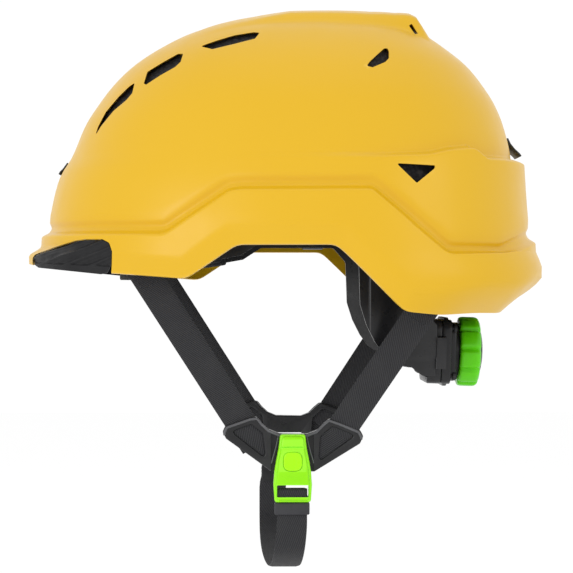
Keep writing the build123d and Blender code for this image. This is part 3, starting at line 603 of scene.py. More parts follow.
SIDE_VENTS = [
    (
        [
            (-104.3, 55.6), (-103, 60.5), (-98.8, 68.8), (-91.8, 77), (-86, 82.4), (-82.8, 84.4),
            (-83.8, 78), (-86.9, 74.3), (-94, 68.8), (-101, 60.7),
        ],
        26, 0.5,
    ),
    (
        [
            (-77.6, 83.2), (-76, 90.2), (-68.3, 94.8), (-59.2, 99.9), (-56.4, 99.6), (-57.6, 94.4),
            (-60.6, 91.4), (-68.3, 87.2), (-76.2, 82.2),
        ],
        22, 0.7,
    ),
    (
        [
            (-47.2, 103.6), (-38.3, 106.8), (-28.6, 109.8), (-18.4, 111.4), (-15, 111), (-17.6, 107),
            (-28.6, 104), (-40.5, 101.2),
        ],
        22, 0.7,
    ),
    (
        [
            (41.3, 90.4), (43.4, 93.3), (51.5, 101.4), (53.4, 101.6), (54.1, 99.8), (53.8, 95.5),
            (51.5, 93), (44.5, 89.6),
        ],
        28, 0.9,
    ),
    ([(54.9, 37.2), (75.6, 36.5), (75.2, 34.8), (65.6, 27)], 40, 0.8),
    ([(67.6, 118.4), (69.3, 119.6), (72.6, 113.7), (70.8, 113.4)], 8, 0.4),
]
INSERT_TOP = [
    (-139.6, -10.6), (-137.6, -8.8), (-123.4, -4.4), (-112.6, -1.8), (-107, -1.2), (-97.5, -1.4),
    (-93.6, -3.4),
    (-92.0, -8.0), (-92.2, -14.5),
]
INSERT_POCKET = INSERT_TOP + [(-93.0, -26.0), (-139.6, -26.0)]
INSERT_PIECE = INSERT_TOP + [(-94.6, -19.4), (-98.4, -20.2), (-135.2, -16.4), (-138.6, -14.4)]


def shell_points(angle, rows, lift=0.0, wall=0.0):
    """The moulded outer surface, lifted outward by lift; wall puts it inside by that much."""
    grid = base_point(angle[None, :] + 0 * rows, rows)
    along_s = base_point(angle[None, :] + 0 * rows, np.minimum(rows + 0.4, STATION_S[-1] - 0.05))
    back_s = base_point(angle[None, :] + 0 * rows, rows - 0.4)
    step = 0.004
    ahead = base_point(angle[None, :] + step + 0 * rows, rows)
    behind = base_point(angle[None, :] - step + 0 * rows, rows)
    normal = np.cross(ahead - behind, along_s - back_s)
    normal /= np.maximum(np.linalg.norm(normal, axis=-1, keepdims=True), 1e-9)
    crown = smooth((rows - STATION_S[-1] + 7.0) / 5.0)[..., None]
    normal = normal * (1 - crown) + np.array([0.0, 0.0, 1.0]) * crown
    out = grid + normal * (relief(grid) + lift - wall)[..., None]
    out[..., 2] += ridge_rise(grid)
    return out


def make_shell():
    cols = 440
    angle = np.linspace(0, 2 * math.pi, cols, endpoint=False) + math.pi / cols
    rows = shell_rows(angle)
    outer = shell_points(angle, rows)
    inner = shell_points(angle, rows, wall=WALL)
    lip = shell_points(angle, rows[:1] - 0.35, wall=WALL * 0.5)
    count = len(rows)
    verts = list(outer.reshape(-1, 3))
    faces = grid_faces(count, cols, True)
    start = len(verts)
    verts += list(inner.reshape(-1, 3))
    faces += grid_faces(count, cols, True, start, flip=True)
    rim = len(verts)
    verts += list(lip.reshape(-1, 3))
    for c in range(cols):
        d = (c + 1) % cols
        faces.append((d, c, rim + c, rim + d))
        faces.append((rim + d, rim + c, start + c, start + d))
    for ring_start, turn in ((0, False), (start, True)):
        last = [ring_start + (count - 1) * cols + c for c in range(cols)]
        faces.append(tuple(last[::-1] if turn else last))
    obj = new_mesh("shell_moulding", verts, faces)
    weld(obj)
    cutters = []
    for i, (outline, start_x, corner) in enumerate(SIDE_VENTS):
        cutters.append(prism(f"cut{i}", outline, start_x, 130, corner))
        cutters.append(prism(f"cut{i}m", outline, -130, -start_x, corner))
    cutters.append(prism("cut_insert", INSERT_POCKET, 16, 150, 2.2))
    cutters.append(prism("cut_insert_m", INSERT_POCKET, -150, -16, 2.2))
    boolean(obj, [joined("cutters", cutters)])
    sharp_by_angle(obj, 38)
    return obj


def joined(name, objs):
    """Joins meshes into one object."""
    verts, faces = [], []
    for o in objs:
        start = len(verts)
        verts += [tuple(c / MM for c in v.co) for v in o.data.vertices]
        faces += [tuple(start + i for i in f.vertices) for f in o.data.polygons]
        bpy.data.objects.remove(o)
    return new_mesh(name, verts, faces, smooth_shade=False)


place(make_shell(), "helmet", YELLOW, "shell", slot="shell_yellow")


# ---------------------------------------------------------------- brim inserts
def shrink(outline, gap):
    """A (y, z) outline moved inward by gap."""
    centre = Vector((sum(p[0] for p in outline) / len(outline), sum(p[1] for p in outline) / len(outline)))
    out = []
    for i, point in enumerate(outline):
        p = Vector(point)
        a = (p - Vector(outline[i - 1])).normalized()
        b = (Vector(outline[(i + 1) % len(outline)]) - p).normalized()
        inward = Vector((-(a + b).y, (a + b).x)).normalized()
        if inward.dot(centre - p) < 0:
            inward = -inward
        out.append(tuple(p + inward * gap))
    return out


def make_insert():
    """Ribbed insert of the brim: a thick patch of the band surface cut to the pocket's outline."""
    cols, count = 190, 60
    angle = np.linspace(-math.pi / 2 + 0.02, -math.radians(28), cols)
    low = s_of_line(soft_line([(-200, -24), (200, -24)], 1), angle)
    high = s_of_line(soft_line([(-200, 3), (200, 3)], 1), angle)
    rows = low[None, :] + (high - low)[None, :] * np.linspace(0, 1, count)[:, None]
    grid = base_point(angle[None, :] + 0 * rows, rows)
    y, z = grid[..., 1], grid[..., 2]
    ribs = np.zeros_like(y)
    for level in (27.6, 32.9, 38.2, 43.5):
        across = (z - 0.42 * y - level) * 0.92
        ribs += (
            np.exp(-((across / 0.75) ** 2))
            + 0.35 * smooth((1.4 - across) / 2.4) * smooth((across + 3) / 1)
        )
    field = smooth((z + 14.2 + (y + 138) * 0.045) / 1.2)
    lift = -1.5 + 1.0 * ribs * field + 1.3 * (1 - field)
    outer = shell_points(angle, rows) + 0
    inner = shell_points(angle, rows, wall=3.2)
    away = outer - inner
    away /= np.linalg.norm(away, axis=-1, keepdims=True)
    outer = outer + away * lift[..., None]
    total = count * cols
    verts = list(outer.reshape(-1, 3)) + list(inner.reshape(-1, 3))
    faces = grid_faces(count, cols, False) + grid_faces(count, cols, False, total, flip=True)
    edge = [c for c in range(cols)] + [r * cols + cols - 1 for r in range(1, count)]
    edge += [(count - 1) * cols + c for c in range(cols - 2, -1, -1)]
    edge += [r * cols for r in range(count - 2, 0, -1)]
    for a, b in zip(edge, edge[1:] + edge[:1]):
        faces.append((b, a, a + total, b + total))
    obj = new_mesh("brim_insert_piece_left", verts, faces)
    weld(obj)
    cutter = prism("insert_form", shrink(INSERT_PIECE, 0.4), 16.6, 150, 2.0)
    boolean(obj, [cutter], "INTERSECT")
    sharp_by_angle(obj, 40)
    return obj


insert = make_insert()
place(insert, "helmet", SOFT, "brim_insert_left", slot="soft_black")
place(mirror_copy(insert, "brim_insert_piece_right"), "helmet", SOFT, "brim_insert_right", slot="soft_black")


# ---------------------------------------------------------------- webbing
def ribbon(name, centres, across, width, thick):
    """Flat webbing along a path: centres and across directions, one for each station."""
    centres = [Vector(c) for c in centres]
    profile = []
    half_w, half_t = width / 2, thick / 2
    steps = 10
    for k in range(steps + 1):
        u = -half_w + width * k / steps
        profile.append((u, half_t * (1 if 0 < k < steps else 0.45)))
    for k in range(steps, -1, -1):
        u = -half_w + width * k / steps
        profile.append((u, -half_t * (1 if 0 < k < steps else 0.45)))
    cols = len(profile)
    verts, uv = [], []
    run = 0.0
    for i, c in enumerate(centres):
        before, after = centres[max(i - 1, 0)], centres[min(i + 1, len(centres) - 1)]
        tangent = (after - before).normalized()
        side = Vector(across[i]).normalized()
        side = (side - tangent * side.dot(tangent)).normalized()
        face = tangent.cross(side)
        if i:
            run += (c - centres[i - 1]).length
        for u, t in profile:
            verts.append(tuple(c + side * u + face * t))
            uv.append((u, run))
    faces = grid_faces(len(centres), cols, True)
    faces.append(tuple(range(cols))[::-1])
    faces.append(tuple((len(centres) - 1) * cols + k for k in range(cols)))
    obj = new_mesh(name, verts, faces, uv=uv)
    weld_keep_uv(obj)
    sharp_by_angle(obj, 50)
    return obj


def weld_keep_uv(obj):
    """Makes the faces point outward without merging points."""
    bm = bmesh.new()
    bm.from_mesh(obj.data)
    bmesh.ops.recalc_face_normals(bm, faces=bm.faces)
    bm.to_mesh(obj.data)
    bm.free()


def node_corners(node):
    low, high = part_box(node)
    return [c / MM for c in low], [c / MM for c in high]


DIVIDER_X = 66.0
WEB_WIDTH = 16.0
WEB_THICK = 1.6


def strap_line(node, lean):
    """Top and foot of a side strap's middle line, from the box of its CAD node."""
    low, high = node_corners(node)
    half_y = WEB_WIDTH / 2 * abs(lean[1])
    half_z = WEB_WIDTH / 2 * abs(lean[0])
    top_y = low[1] + half_y if lean[0] > 0 else high[1] - half_y
    foot_y = high[1] - half_y if lean[0] > 0 else low[1] + half_y
    top_x = high[0] - WEB_THICK / 2
    return Vector((top_x, top_y, high[2] - half_z)), Vector((DIVIDER_X, foot_y, low[2] + half_z))


def stitch_rows(name, frame_at, rows, length, material, body):
    """Short raised stitches in rows across webbing."""
    verts, faces = [], []
    for u0, v0, u1, v1 in rows:
        count = max(1, int(math.hypot(u1 - u0, v1 - v0) / length))
        for k in range(count):
            t0, t1 = (k + 0.15) / count, (k + 0.85) / count
            a = frame_at(u0 + (u1 - u0) * t0, v0 + (v1 - v0) * t0)
            b = frame_at(u0 + (u1 - u0) * t1, v0 + (v1 - v0) * t1)
            add_stitch(verts, faces, a, b)
    obj = new_mesh(name, verts, faces)
    return place(obj, body, material, slot="webbing")


def add_stitch(verts, faces, a, b):
    """One stitch: a small rounded bar between two (point, normal) pairs."""
    (p, normal), (q, _) = a, b
    along = (q - p).normalized()
    side = normal.cross(along)
    start = len(verts)
    for t, lift, wide in ((0, 0.0, 0.12), (0.25, 0.28, 0.24), (0.75, 0.28, 0.24), (1, 0.0, 0.12)):
        c = p.lerp(q, t) + normal * lift
        for s, n in ((-1, -0.6), (0, 0.7), (1, -0.6)):
            verts.append(tuple(c + side * wide * s + normal * 0.25 * n))
    for r in range(3):
        for k in range(3):
            i, j = start + r * 3 + k, start + r * 3 + (k + 1) % 3
            faces.append((i, j, j + 3, i + 3))
    faces.append((start + 2, start + 1, start))
    faces.append((start + 9, start + 10, start + 11))


FRONT_LEAN = (0.539, -0.842)
REAR_LEAN = (-0.555, -0.832)


def make_side_strap(part, lean):
    """A side strap from its anchor to the divider, with the sewn fold under the shell."""
    top, foot = strap_line(f"strap_{part}_left", lean)
    along = (foot - top).normalized()
    side = Vector((0, -lean[1], lean[0]))
    normal = along.cross(side).normalized()
    if normal.x < 0:
        normal = -normal
    length = (foot - top).length
    points = [top + along * (length * k / 60) for k in range(61)]
    main = ribbon(f"side_strap_{part}_left", points, [side] * 61, WEB_WIDTH, WEB_THICK)
    tail_length = 33.0 if part == "front" else 42.0
    inner = [top + along * (tail_length * k / 20) - normal * (WEB_THICK + 0.1) for k in range(21)]
    tail = ribbon(f"strap_tail_{part}_left", inner, [side] * 21, WEB_WIDTH - 0.3, WEB_THICK * 0.9)

    def at(u, v):
        return top + along * v + side * u + normal * (WEB_THICK / 2 - 0.05), normal

    box = [(-5.5, tail_length - 9, 5.5, tail_length - 9), (-5.5, tail_length - 3, 5.5, tail_length - 3)]
    box += [(-5.5, tail_length - 9, -5.5, tail_length - 3), (5.5, tail_length - 9, 5.5, tail_length - 3)]
    stitches = stitch_rows(f"strap_stitch_{part}_left", at, box, 1.5, THREAD, "helmet")
    for o in (main, tail):
        place(o, "helmet", WEB)
    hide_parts(f"strap_{part}_left")
    right = mirror_copy(main, f"side_strap_{part}_right")
    place(right, "helmet", WEB, f"strap_{part}_right", slot="webbing")
    place(mirror_copy(tail, f"strap_tail_{part}_right"), "helmet", WEB, slot="webbing")
    place(mirror_copy(stitches, f"strap_stitch_{part}_right"), "helmet", THREAD, slot="webbing")


THREAD = plastic_material("thread", (0.05, 0.05, 0.054), 0.8, 0.02, 0.0)
make_side_strap("front", FRONT_LEAN)
make_side_strap("rear", REAR_LEAN)

# chin strap
low, high = node_corners("chin_strap")
CHIN_Y = (low[1] + high[1]) / 2
CHIN_BOTTOM = low[2]
STRAP_X = high[0] - WEB_THICK / 2
HINGE_Z = -119.6
HINGE_RADIUS = 2.2
LEG_FOOT = -160.0
ROLL_Z = -135.2


def chin_path():
    """Middle line of the chin strap from inside the clip round to the loop on its bar."""
    half = (STRAP_X + DIVIDER_X) / 2
    middle = (STRAP_X - DIVIDER_X) / 2
    drop = LEG_FOOT - CHIN_BOTTOM - WEB_THICK / 2
    roll = 1.75
    points = [(STRAP_X + 2 * roll, CHIN_Y, ROLL_Z - 2.2), (STRAP_X + 2 * roll, CHIN_Y, ROLL_Z - 1.0)]
    for k in range(0, 13):
        a = math.pi * k / 12
        points.append((STRAP_X + roll + roll * math.cos(a), CHIN_Y, ROLL_Z + roll * math.sin(a)))
    points += [(STRAP_X, CHIN_Y, ROLL_Z + (LEG_FOOT - ROLL_Z) * k / 14) for k in range(1, 14)]
    for k in range(0, 61):
        a = math.pi * k / 60
        points.append((middle + half * math.cos(a), CHIN_Y, LEG_FOOT - drop * math.sin(a)))
    loop = HINGE_RADIUS + 0.3 + WEB_THICK / 2
    last = HINGE_Z - loop - 3
    points += [(-DIVIDER_X, CHIN_Y, LEG_FOOT + (last - LEG_FOOT) * k / 12) for k in range(1, 13)]
    points.append((-DIVIDER_X + 0.7, CHIN_Y, HINGE_Z - loop - 0.9))
    for k in range(0, 21):
        a = math.radians(-75 + 335 * k / 20)
        points.append((-DIVIDER_X + loop * math.cos(a), CHIN_Y, HINGE_Z + loop * math.sin(a)))
    return [(x, y + chin_lean(x, z), z) for x, y, z in points]


def chin_lean(x, z):
    """How far forward the hanging loop swings: little at the buckle, more on the hinge side."""
    across = float(smooth((STRAP_X - x) / (STRAP_X + DIVIDER_X)))
    hang = float(smooth((-121.5 - z) / 27.0))
    near = float(smooth((-150.0 - z) / 32.0))
    return -9.0 * across * hang - 2.5 * (1 - across) * near


chin = ribbon("chin_webbing", chin_path(), [(0, 1, 0)] * len(chin_path()), WEB_WIDTH, WEB_THICK)
place(chin, "chin_unit", WEB, "chin_strap", slot="webbing")
tail_points = [
    (STRAP_X - 1.75, CHIN_Y + chin_lean(STRAP_X, -141.5 - 2 * k), -141.5 - 2 * k)
    for k in range(9)
]
chin_tail = ribbon("chin_webbing_tail", tail_points, [(0, 1, 0)] * 9, WEB_WIDTH - 0.3, 1.4)
place(chin_tail, "chin_unit", WEB, slot="webbing")


# ---------------------------------------------------------------- dividers
DIVIDER = [
    (-34.9, -103.4), (-33.4, -100.2), (-20.5, -95.8), (-17, -95.4), (-14.4, -98.6), (-10.6, -102),
    (-5, -104.3),
    (10, -104.6), (15.4, -102.6), (19.2, -98.9), (22.2, -96.5), (27.5, -98.3), (38.4, -102.7), (40, -105.8),
    (38.2, -109.7), (13.8, -124.6), (-8.6, -124.6), (-16.5, -118.9), (-33, -107),
]
FRONT_WINDOW = [(-30.2, -103.2), (-19.6, -99.4), (-13.6, -104.2), (-12.0, -117.6)]
REAR_WINDOW = [(23.4, -100.4), (35.6, -105.4), (16.2, -119.2), (17.2, -105.8)]


def make_divider(left):
    obj = plate(
        "divider_plate", DIVIDER, [FRONT_WINDOW, REAR_WINDOW], DIVIDER_X - 3, DIVIDER_X + 3, 0.8, 1.6,
    )
    if left:
        channel = prism(
            "channel", [(-9.2, -103.6), (13.6, -103.6), (13.6, -140), (-9.2, -140)], DIVIDER_X + 1.2, 90,
            0.4,
        )
        boolean(obj, [channel])
    else:
        w = WEB_WIDTH / 2 + 0.6
        gap = prism(
            "gap",
            [
                (CHIN_Y - w, -126), (CHIN_Y + w, -126), (CHIN_Y + w, HINGE_Z + 5),
                (CHIN_Y - w, HINGE_Z + 5),
            ],
            0, 90, 0.8,
        )
        boolean(obj, [gap])
        bar = bar_along_y(HINGE_RADIUS, CHIN_Y - w - 0.8, CHIN_Y + w + 0.8, DIVIDER_X, HINGE_Z)
        obj = joined_smooth("divider_plate", [obj, bar])
    for strap_part, lean in (("front", FRONT_LEAN), ("rear", REAR_LEAN)):
        pocket = strap_pocket(strap_part, lean)
        boolean(obj, [pocket])
    sharp_by_angle(obj, 40)
    return obj


def bar_along_y(radius, y0, y1, x, z, count=24):
    verts, faces = [], []
    for y in np.linspace(y0, y1, 7):
        for k in range(count):
            a = 2 * math.pi * k / count
            verts.append((x + radius * math.cos(a), y, z + radius * math.sin(a)))
    faces = grid_faces(7, count, True)
    faces += [tuple(range(count))[::-1], tuple(6 * count + k for k in range(count))]
    obj = new_mesh("bar", verts, faces)
    weld(obj)
    return obj


def joined_smooth(name, objs):
    obj = joined(name, objs)
    weld(obj, 0.005)
    return obj


def strap_pocket(part, lean):
    """The slot that a side strap runs through, a little larger than the webbing."""
    top, foot = strap_line(f"strap_{part}_left", lean)
    along = (foot - top).normalized()
    side = Vector((0, -lean[1], lean[0]))
    normal = along.cross(side).normalized()
    corners = []
    for end in (top, foot + along * 0.3):
        for u, t in ((-1, -1), (1, -1), (1, 1), (-1, 1)):
            corners.append(
                tuple(end + side * u * (WEB_WIDTH / 2 + 0.25) + normal * t * (WEB_THICK / 2 + 0.2))
            )
    faces = [(0, 1, 2, 3), (7, 6, 5, 4)]
    faces += [(i, i + 4, (i + 1) % 4 + 4, (i + 1) % 4) for i in range(4)]
    obj = new_mesh("pocket", corners, faces, smooth_shade=False)
    weld(obj)
    return obj


def tube(name, path, radius, count=10):
    """A thin round tube along a path; it carries the painted highlight lines."""
    points = [Vector(p) for p in path]
    verts = []
    for i, c in enumerate(points):
        before, after = points[max(i - 1, 0)], points[min(i + 1, len(points) - 1)]
        tangent = (after - before).normalized()
        side = Vector((1, 0, 0))
        face = tangent.cross(side).normalized()
        for k in range(count):
            a = 2 * math.pi * k / count
            verts.append(tuple(c + side * radius * math.cos(a) + face * radius * math.sin(a)))
    last = (len(points) - 1) * count
    faces = grid_faces(len(points), count, True)
    faces += [tuple(range(count))[::-1], tuple(last + k for k in range(count))]
    obj = new_mesh(name, verts, faces)
    weld(obj, 0.001)
    return obj


def web_patch(name, outline, lean, x_from, x_to):
    """Webbing that fills a window of the divider, woven along the strap."""
    points = rounded(outline, 1.6)
    count = len(points)
    verts = [(x, y, z) for x in (x_from, x_to) for y, z in points]
    uv = [(y * lean[1] - z * lean[0], y * lean[0] + z * lean[1]) for _, y, z in verts]
    faces = [tuple(range(count))[::-1], tuple(range(count, 2 * count))]
    faces += [(i, (i + 1) % count, count + (i + 1) % count, count + i) for i in range(count)]
    obj = new_mesh(name, verts, faces, smooth_shade=False, uv=uv)
    weld_keep_uv(obj)
    return obj


RIM_X = DIVIDER_X + 2.7
for side_name, sign in (("left", 1), ("right", -1)):
    # Grey tubes along the upper edge of each divider plate: painted highlight lines on the black gloss
    # plastic.
    rim_path = [(sign * RIM_X, y * 0.975, z - 0.9) for y, z in rounded(DIVIDER, 1.6)]
    rim_path = [p for p in rim_path if p[2] > -107.5]
    start = max(range(len(rim_path)), key=lambda i: math.dist(rim_path[i], rim_path[i - 1]))
    rim_path = rim_path[start:] + rim_path[:start]
    rim = tube(f"divider_rim_highlight_{side_name}", rim_path, 0.75)
    place(rim, "helmet", EDGE_HIGHLIGHT_GREY, slot="black_gloss")
    for window, lean, part in ((FRONT_WINDOW, FRONT_LEAN, "front"), (REAR_WINDOW, REAR_LEAN, "rear")):
        faces_x = sorted((sign * (DIVIDER_X + 0.9), sign * (DIVIDER_X + 1.7)))
        patch = web_patch(f"window_webbing_{part}_{side_name}", window, lean, *faces_x)
        place(patch, "helmet", WEB, slot="webbing")

CLIP_MIDDLE = 2.3
# Grey tubes beside the clip channel: painted highlight lines on the black gloss divider.
for end_name, turn in (("front", -1), ("rear", 1)):
    highlight_path = [
        (RIM_X + 0.4, CLIP_MIDDLE + turn * y, z)
        for y, z in ((7.6, -105.8), (8.8, -111.5), (11.2, -120.0))
    ]
    place(tube(f"channel_highlight_{end_name}", highlight_path, 0.4), "helmet", EDGE_HIGHLIGHT_GREY, slot="black_gloss")

place(make_divider(True), "helmet", GLOSS, "divider_left", slot="black_gloss").name = "divider_plate_left"
right_divider = make_divider(False)
place(
    mirror_copy(right_divider, "divider_plate_right"), "helmet", GLOSS, "divider_right",
    slot="black_gloss",
)
bpy.data.objects.remove(right_divider)


# ---------------------------------------------------------------- buckle clip
CLIP_X = DIVIDER_X + 1.6
CLIP_Y = 2.3
CLIP_OUTER = CLIP_X + 8.0
CLIP_LINE = [
    (CLIP_Y - 6.6, -104.3), (CLIP_Y + 6.6, -104.3), (CLIP_Y + 7.4, -111.5), (CLIP_Y + 8.6, -117.5),
    (CLIP_Y + 9.7, -124.0), (CLIP_Y + 10.2, -131.0), (CLIP_Y + 9.6, -140.2), (CLIP_Y - 9.6, -140.2),
    (CLIP_Y - 10.2, -131.0), (CLIP_Y - 9.7, -124.0), (CLIP_Y - 8.6, -117.5), (CLIP_Y - 7.4, -111.5),
]


def press_line(radius, count=48):
    """Outline of the press area, fuller at the corners than a circle."""
    points = []
    for k in range(count):
        a = 2 * math.pi * k / count
        reach = radius / (abs(math.cos(a)) ** 3.2 + abs(math.sin(a)) ** 3.2) ** (1 / 3.2)
        points.append((CLIP_Y + reach * math.cos(a), -118.6 + reach * math.sin(a)))
    return points


def make_clip():
    """Green buckle: bevelled waisted body, strap slot with a bar, seat of the press area."""
    body = plate("buckle_body", CLIP_LINE, [], CLIP_X, CLIP_OUTER - 1.4, 0.9, 1.6)
    face_line = [(CLIP_Y + (y - CLIP_Y) * 0.86, -122 + (z + 122) * 0.95) for y, z in CLIP_LINE]
    face = plate("buckle_face", face_line, [], CLIP_OUTER - 2.6, CLIP_OUTER, 1.1, 2.0)
    obj = boolean(body, [face], "UNION")
    slot_cut = prism(
        "slot",
        [(CLIP_Y - 8.3, -131.0), (CLIP_Y + 8.3, -131.0), (CLIP_Y + 8.3, -137.4), (CLIP_Y - 8.3, -137.4)],
        0, 90, 0.5,
    )
    pocket = prism(
        "pocket",
        [(CHIN_Y - 8.4, -120), (CHIN_Y + 8.4, -120), (CHIN_Y + 8.4, -150), (CHIN_Y - 8.4, -150)],
        STRAP_X - 1.1, STRAP_X + 1.1, 0.3,
    )
    seat = prism("seat", press_line(5.15), CLIP_OUTER - 2.6, 90, 0.01)
    groove = prism(
        "groove",
        [(CLIP_Y - 9, -110.6), (CLIP_Y + 9, -110.6), (CLIP_Y + 9, -111.4), (CLIP_Y - 9, -111.4)],
        CLIP_OUTER - 0.7, 90, 0.1,
    )
    boolean(obj, [slot_cut])
    boolean(obj, [pocket])
    boolean(obj, [seat])
    boolean(obj, [groove])
    return bevelled(obj, 0.28, 2, 40)


def circle_line(y, z, radius, count=40):
    return [
        (y + radius * math.cos(2 * math.pi * k / count), z + radius * math.sin(2 * math.pi * k / count))
        for k in range(count)
    ]


place(make_clip(), "buckle", GREEN, "buckle_clip", slot="green_plastic")


def press_pad(name, radius, x_from, x_to, dish):
    """A press pad with a rounded rim and a dished face, axis along X."""
    profile = [(0, x_from), (radius - 0.1, x_from), (radius, x_from + 0.3), (radius, x_to - 0.6)]
    profile += [(radius - 0.2, x_to - 0.2), (radius - 0.7, x_to)]
    profile += [(radius * k, x_to - dish * (1 - (k / 0.8) ** 2)) for k in (0.8, 0.6, 0.4, 0.2, 0.0)]
    count = 48
    verts, rows = [], len(profile)
    for r, x in profile:
        verts += [(x, y, z) for y, z in press_line(max(r, 0.001), count)]
    obj = new_mesh(name, verts, grid_faces(rows, count, True))
    weld(obj)
    sharp_by_angle(obj, 50)
    return obj


press = press_pad("buckle_press_pad", 5.05, CLIP_OUTER - 1.3, CLIP_OUTER + 0.1, 0.3)
place(press, "buckle_button", LIME, "clip_button", slot="green_light")


def ring_sleeve(name, x, y_mid, z_from, z_to, wall, width, ribs):
    """A closed loop of rubber round the webbing, with fine ribs round it."""
    half_x, half_y = WEB_THICK / 2 + 0.3, WEB_WIDTH / 2 + 0.3
    outer_x, outer_y = half_x + wall, width / 2
    count, rows = 48, 18
    verts = []

    def loop(a_x, a_y, corner):
        pts = rounded([(-a_x, -a_y), (a_x, -a_y), (a_x, a_y), (-a_x, a_y)], corner, 11)
        return pts[:count]

    for r in range(rows):
        t = r / (rows - 1)
        end = min(t, 1 - t) * (rows - 1)
        inset = 0.45 if end < 0.5 else 0.12 if end < 1.5 else 0.0
        groove = 0.16 * (0.5 - 0.5 * math.cos(2 * math.pi * ribs * t)) if ribs else 0
        for px, py in loop(outer_x - inset - groove, outer_y - inset - groove, 0.9):
            verts.append((x + px, y_mid + py, z_from + (z_to - z_from) * t))
    start = len(verts)
    for r in (0, rows - 1):
        for px, py in loop(half_x, half_y, 0.3):
            verts.append((x + px, y_mid + py, z_from + (z_to - z_from) * r / (rows - 1)))
    faces = grid_faces(rows, count, True)
    for k in range(count):
        j = (k + 1) % count
        faces.append((k, start + k, start + j, j))
        top = (rows - 1) * count
        faces.append((top + j, start + count + j, start + count + k, top + k))
        faces.append((start + k, start + count + k, start + count + j, start + j))
    obj = new_mesh(name, verts, faces)
    weld(obj, 0.001)
    sharp_by_angle(obj, 50)
    return obj


place(
    ring_sleeve("sleeve_under_buckle", STRAP_X, CHIN_Y, -147, -140.6, 1.2, 18.6, 0), "buckle", RUBBER,
    "strap_sleeve",
)
KEEPER_Y = CHIN_Y + chin_lean(-DIVIDER_X, -139.5)
place(
    ring_sleeve("keeper_loop", -DIVIDER_X, KEEPER_Y, -144.5, -134.5, 1.0, 18.4, 5), "keeper", SATIN,
    "strap_keeper",
)


# ---------------------------------------------------------------- dial
TILT = math.radians(2.0)
AXIS = Vector((0, math.cos(TILT), -math.sin(TILT)))
DIAL = Vector((0, 86.6, -62.7))
UP = Vector((0, math.sin(TILT), math.cos(TILT)))


def on_dial(x, up, s):
    """A point by its place across, up and along the dial's axis."""
    return tuple(DIAL + Vector((x, 0, 0)) + UP * up + AXIS * s)


def dial_turned(name, profile, count, radius_at=None):
    """A turned shape round the dial's axis; profile is (radius, along) pairs."""
    verts = []
    for r, s in profile:
        for k in range(count):
            a = 2 * math.pi * k / count
            rr = radius_at(r, s, a) if radius_at else r
            verts.append(on_dial(rr * math.cos(a), rr * math.sin(a), s))
    obj = new_mesh(name, verts, grid_faces(len(profile), count, True))
    weld(obj, 0.002)
    sharp_by_angle(obj, 45)
    return obj


KNOB_FROM, KNOB_TO = 11.1, 22.9
KNOB_PHASE = math.radians(12.1)


def knob_radius(r, s, a):
    """Ten broad lobes with narrow scallops between them, fading towards the middle."""
    if r < 12.5:
        return r
    lobe = 0.5 + 0.5 * math.cos(10 * (a + KNOB_PHASE))
    scallop = (1 - lobe) ** 9
    return r - 1.7 * scallop * min(1.0, (r - 12.5) / 4.0)


knob_profile = [
    (14.0, KNOB_FROM + 9), (14.2, KNOB_FROM + 0.4), (14.6, KNOB_FROM), (18.2, KNOB_FROM),
    (19.0, KNOB_FROM + 0.3),
]
knob_profile += [
    (19.5, KNOB_FROM + 1.0), (19.7, KNOB_FROM + 2.2), (19.7, 13.0 + 4), (19.7, KNOB_TO - 3.2),
    (19.45, KNOB_TO - 1.8),
]
knob_profile += [
    (18.7, KNOB_TO - 0.7), (17.4, KNOB_TO - 0.15), (15.5, KNOB_TO), (13.6, KNOB_TO - 0.1),
    (13.1, KNOB_TO - 0.5),
]
knob_profile += [
    (13.0, KNOB_TO - 1.6), (5.0, KNOB_TO - 1.6), (3.3, KNOB_TO - 1.7), (3.3, KNOB_FROM + 9),
    (14.0, KNOB_FROM + 9),
]
# The grip takes the darker green copy of the buckle plastic: painted shade.
place(
    dial_turned("dial_grip", knob_profile, 240, knob_radius), "dial", KNOB_GREEN_SHADED, "knob",
    slot="green_plastic",
)
cap_profile = [(0.0, KNOB_TO - 1.5), (12.6, KNOB_TO - 1.5), (12.8, KNOB_TO - 1.2), (12.8, KNOB_TO + 0.2)]
cap_profile += [(12.4, KNOB_TO + 0.7), (11.4, KNOB_TO + 1.1), (9.0, KNOB_TO + 1.6), (8.6, KNOB_TO + 1.45)]
cap_profile += [(8.2, KNOB_TO + 1.75), (4.0, KNOB_TO + 2.2), (0.0, KNOB_TO + 2.35)]
place(dial_turned("dial_cap", cap_profile, 96), "dial", GLOSS, "knob_cap", slot="black_gloss")


def dial_block(name, width, height, s_from, s_to, corner, edge):
    """A rounded block on the dial's axis with softened edges."""
    outline = rounded(
        [
            (-width / 2, -height / 2), (width / 2, -height / 2), (width / 2, height / 2),
            (-width / 2, height / 2),
        ],
        corner, 8
    )
    count = len(outline)
    verts = []
    for s, inset in (
        (s_from, edge), (s_from + edge * 0.3, edge * 0.3), (s_from + edge, 0), (s_to - edge, 0),
        (s_to - edge * 0.3, edge * 0.3), (s_to, edge),
    ):
        for x, up in outline:
            verts.append(on_dial(x * (1 - 2 * inset / width), up * (1 - 2 * inset / height), s))
    faces = grid_faces(6, count, True)
    faces += [tuple(range(count))[::-1], tuple(5 * count + k for k in range(count))]
    obj = new_mesh(name, verts, faces)
    weld(obj)
    sharp_by_angle(obj, 45)
    return obj


def housing_half(name, s_from, s_to, layers):
    """Half of the dial housing: stacked rounded blocks with the rack channel cut through."""
    blocks = [dial_block(f"{name}{i}", w, h, a, b, c, e) for i, (w, h, a, b, c, e) in enumerate(layers)]
    obj = blocks[0]
    for other in blocks[1:]:
        boolean(obj, [other], "UNION")
    channel = dial_block("channel", 80, 17.6, -1.95, 1.95, 0.3, 0.05)
    boolean(obj, [channel])
    obj.name = name
    sharp_by_angle(obj, 40)
    return obj


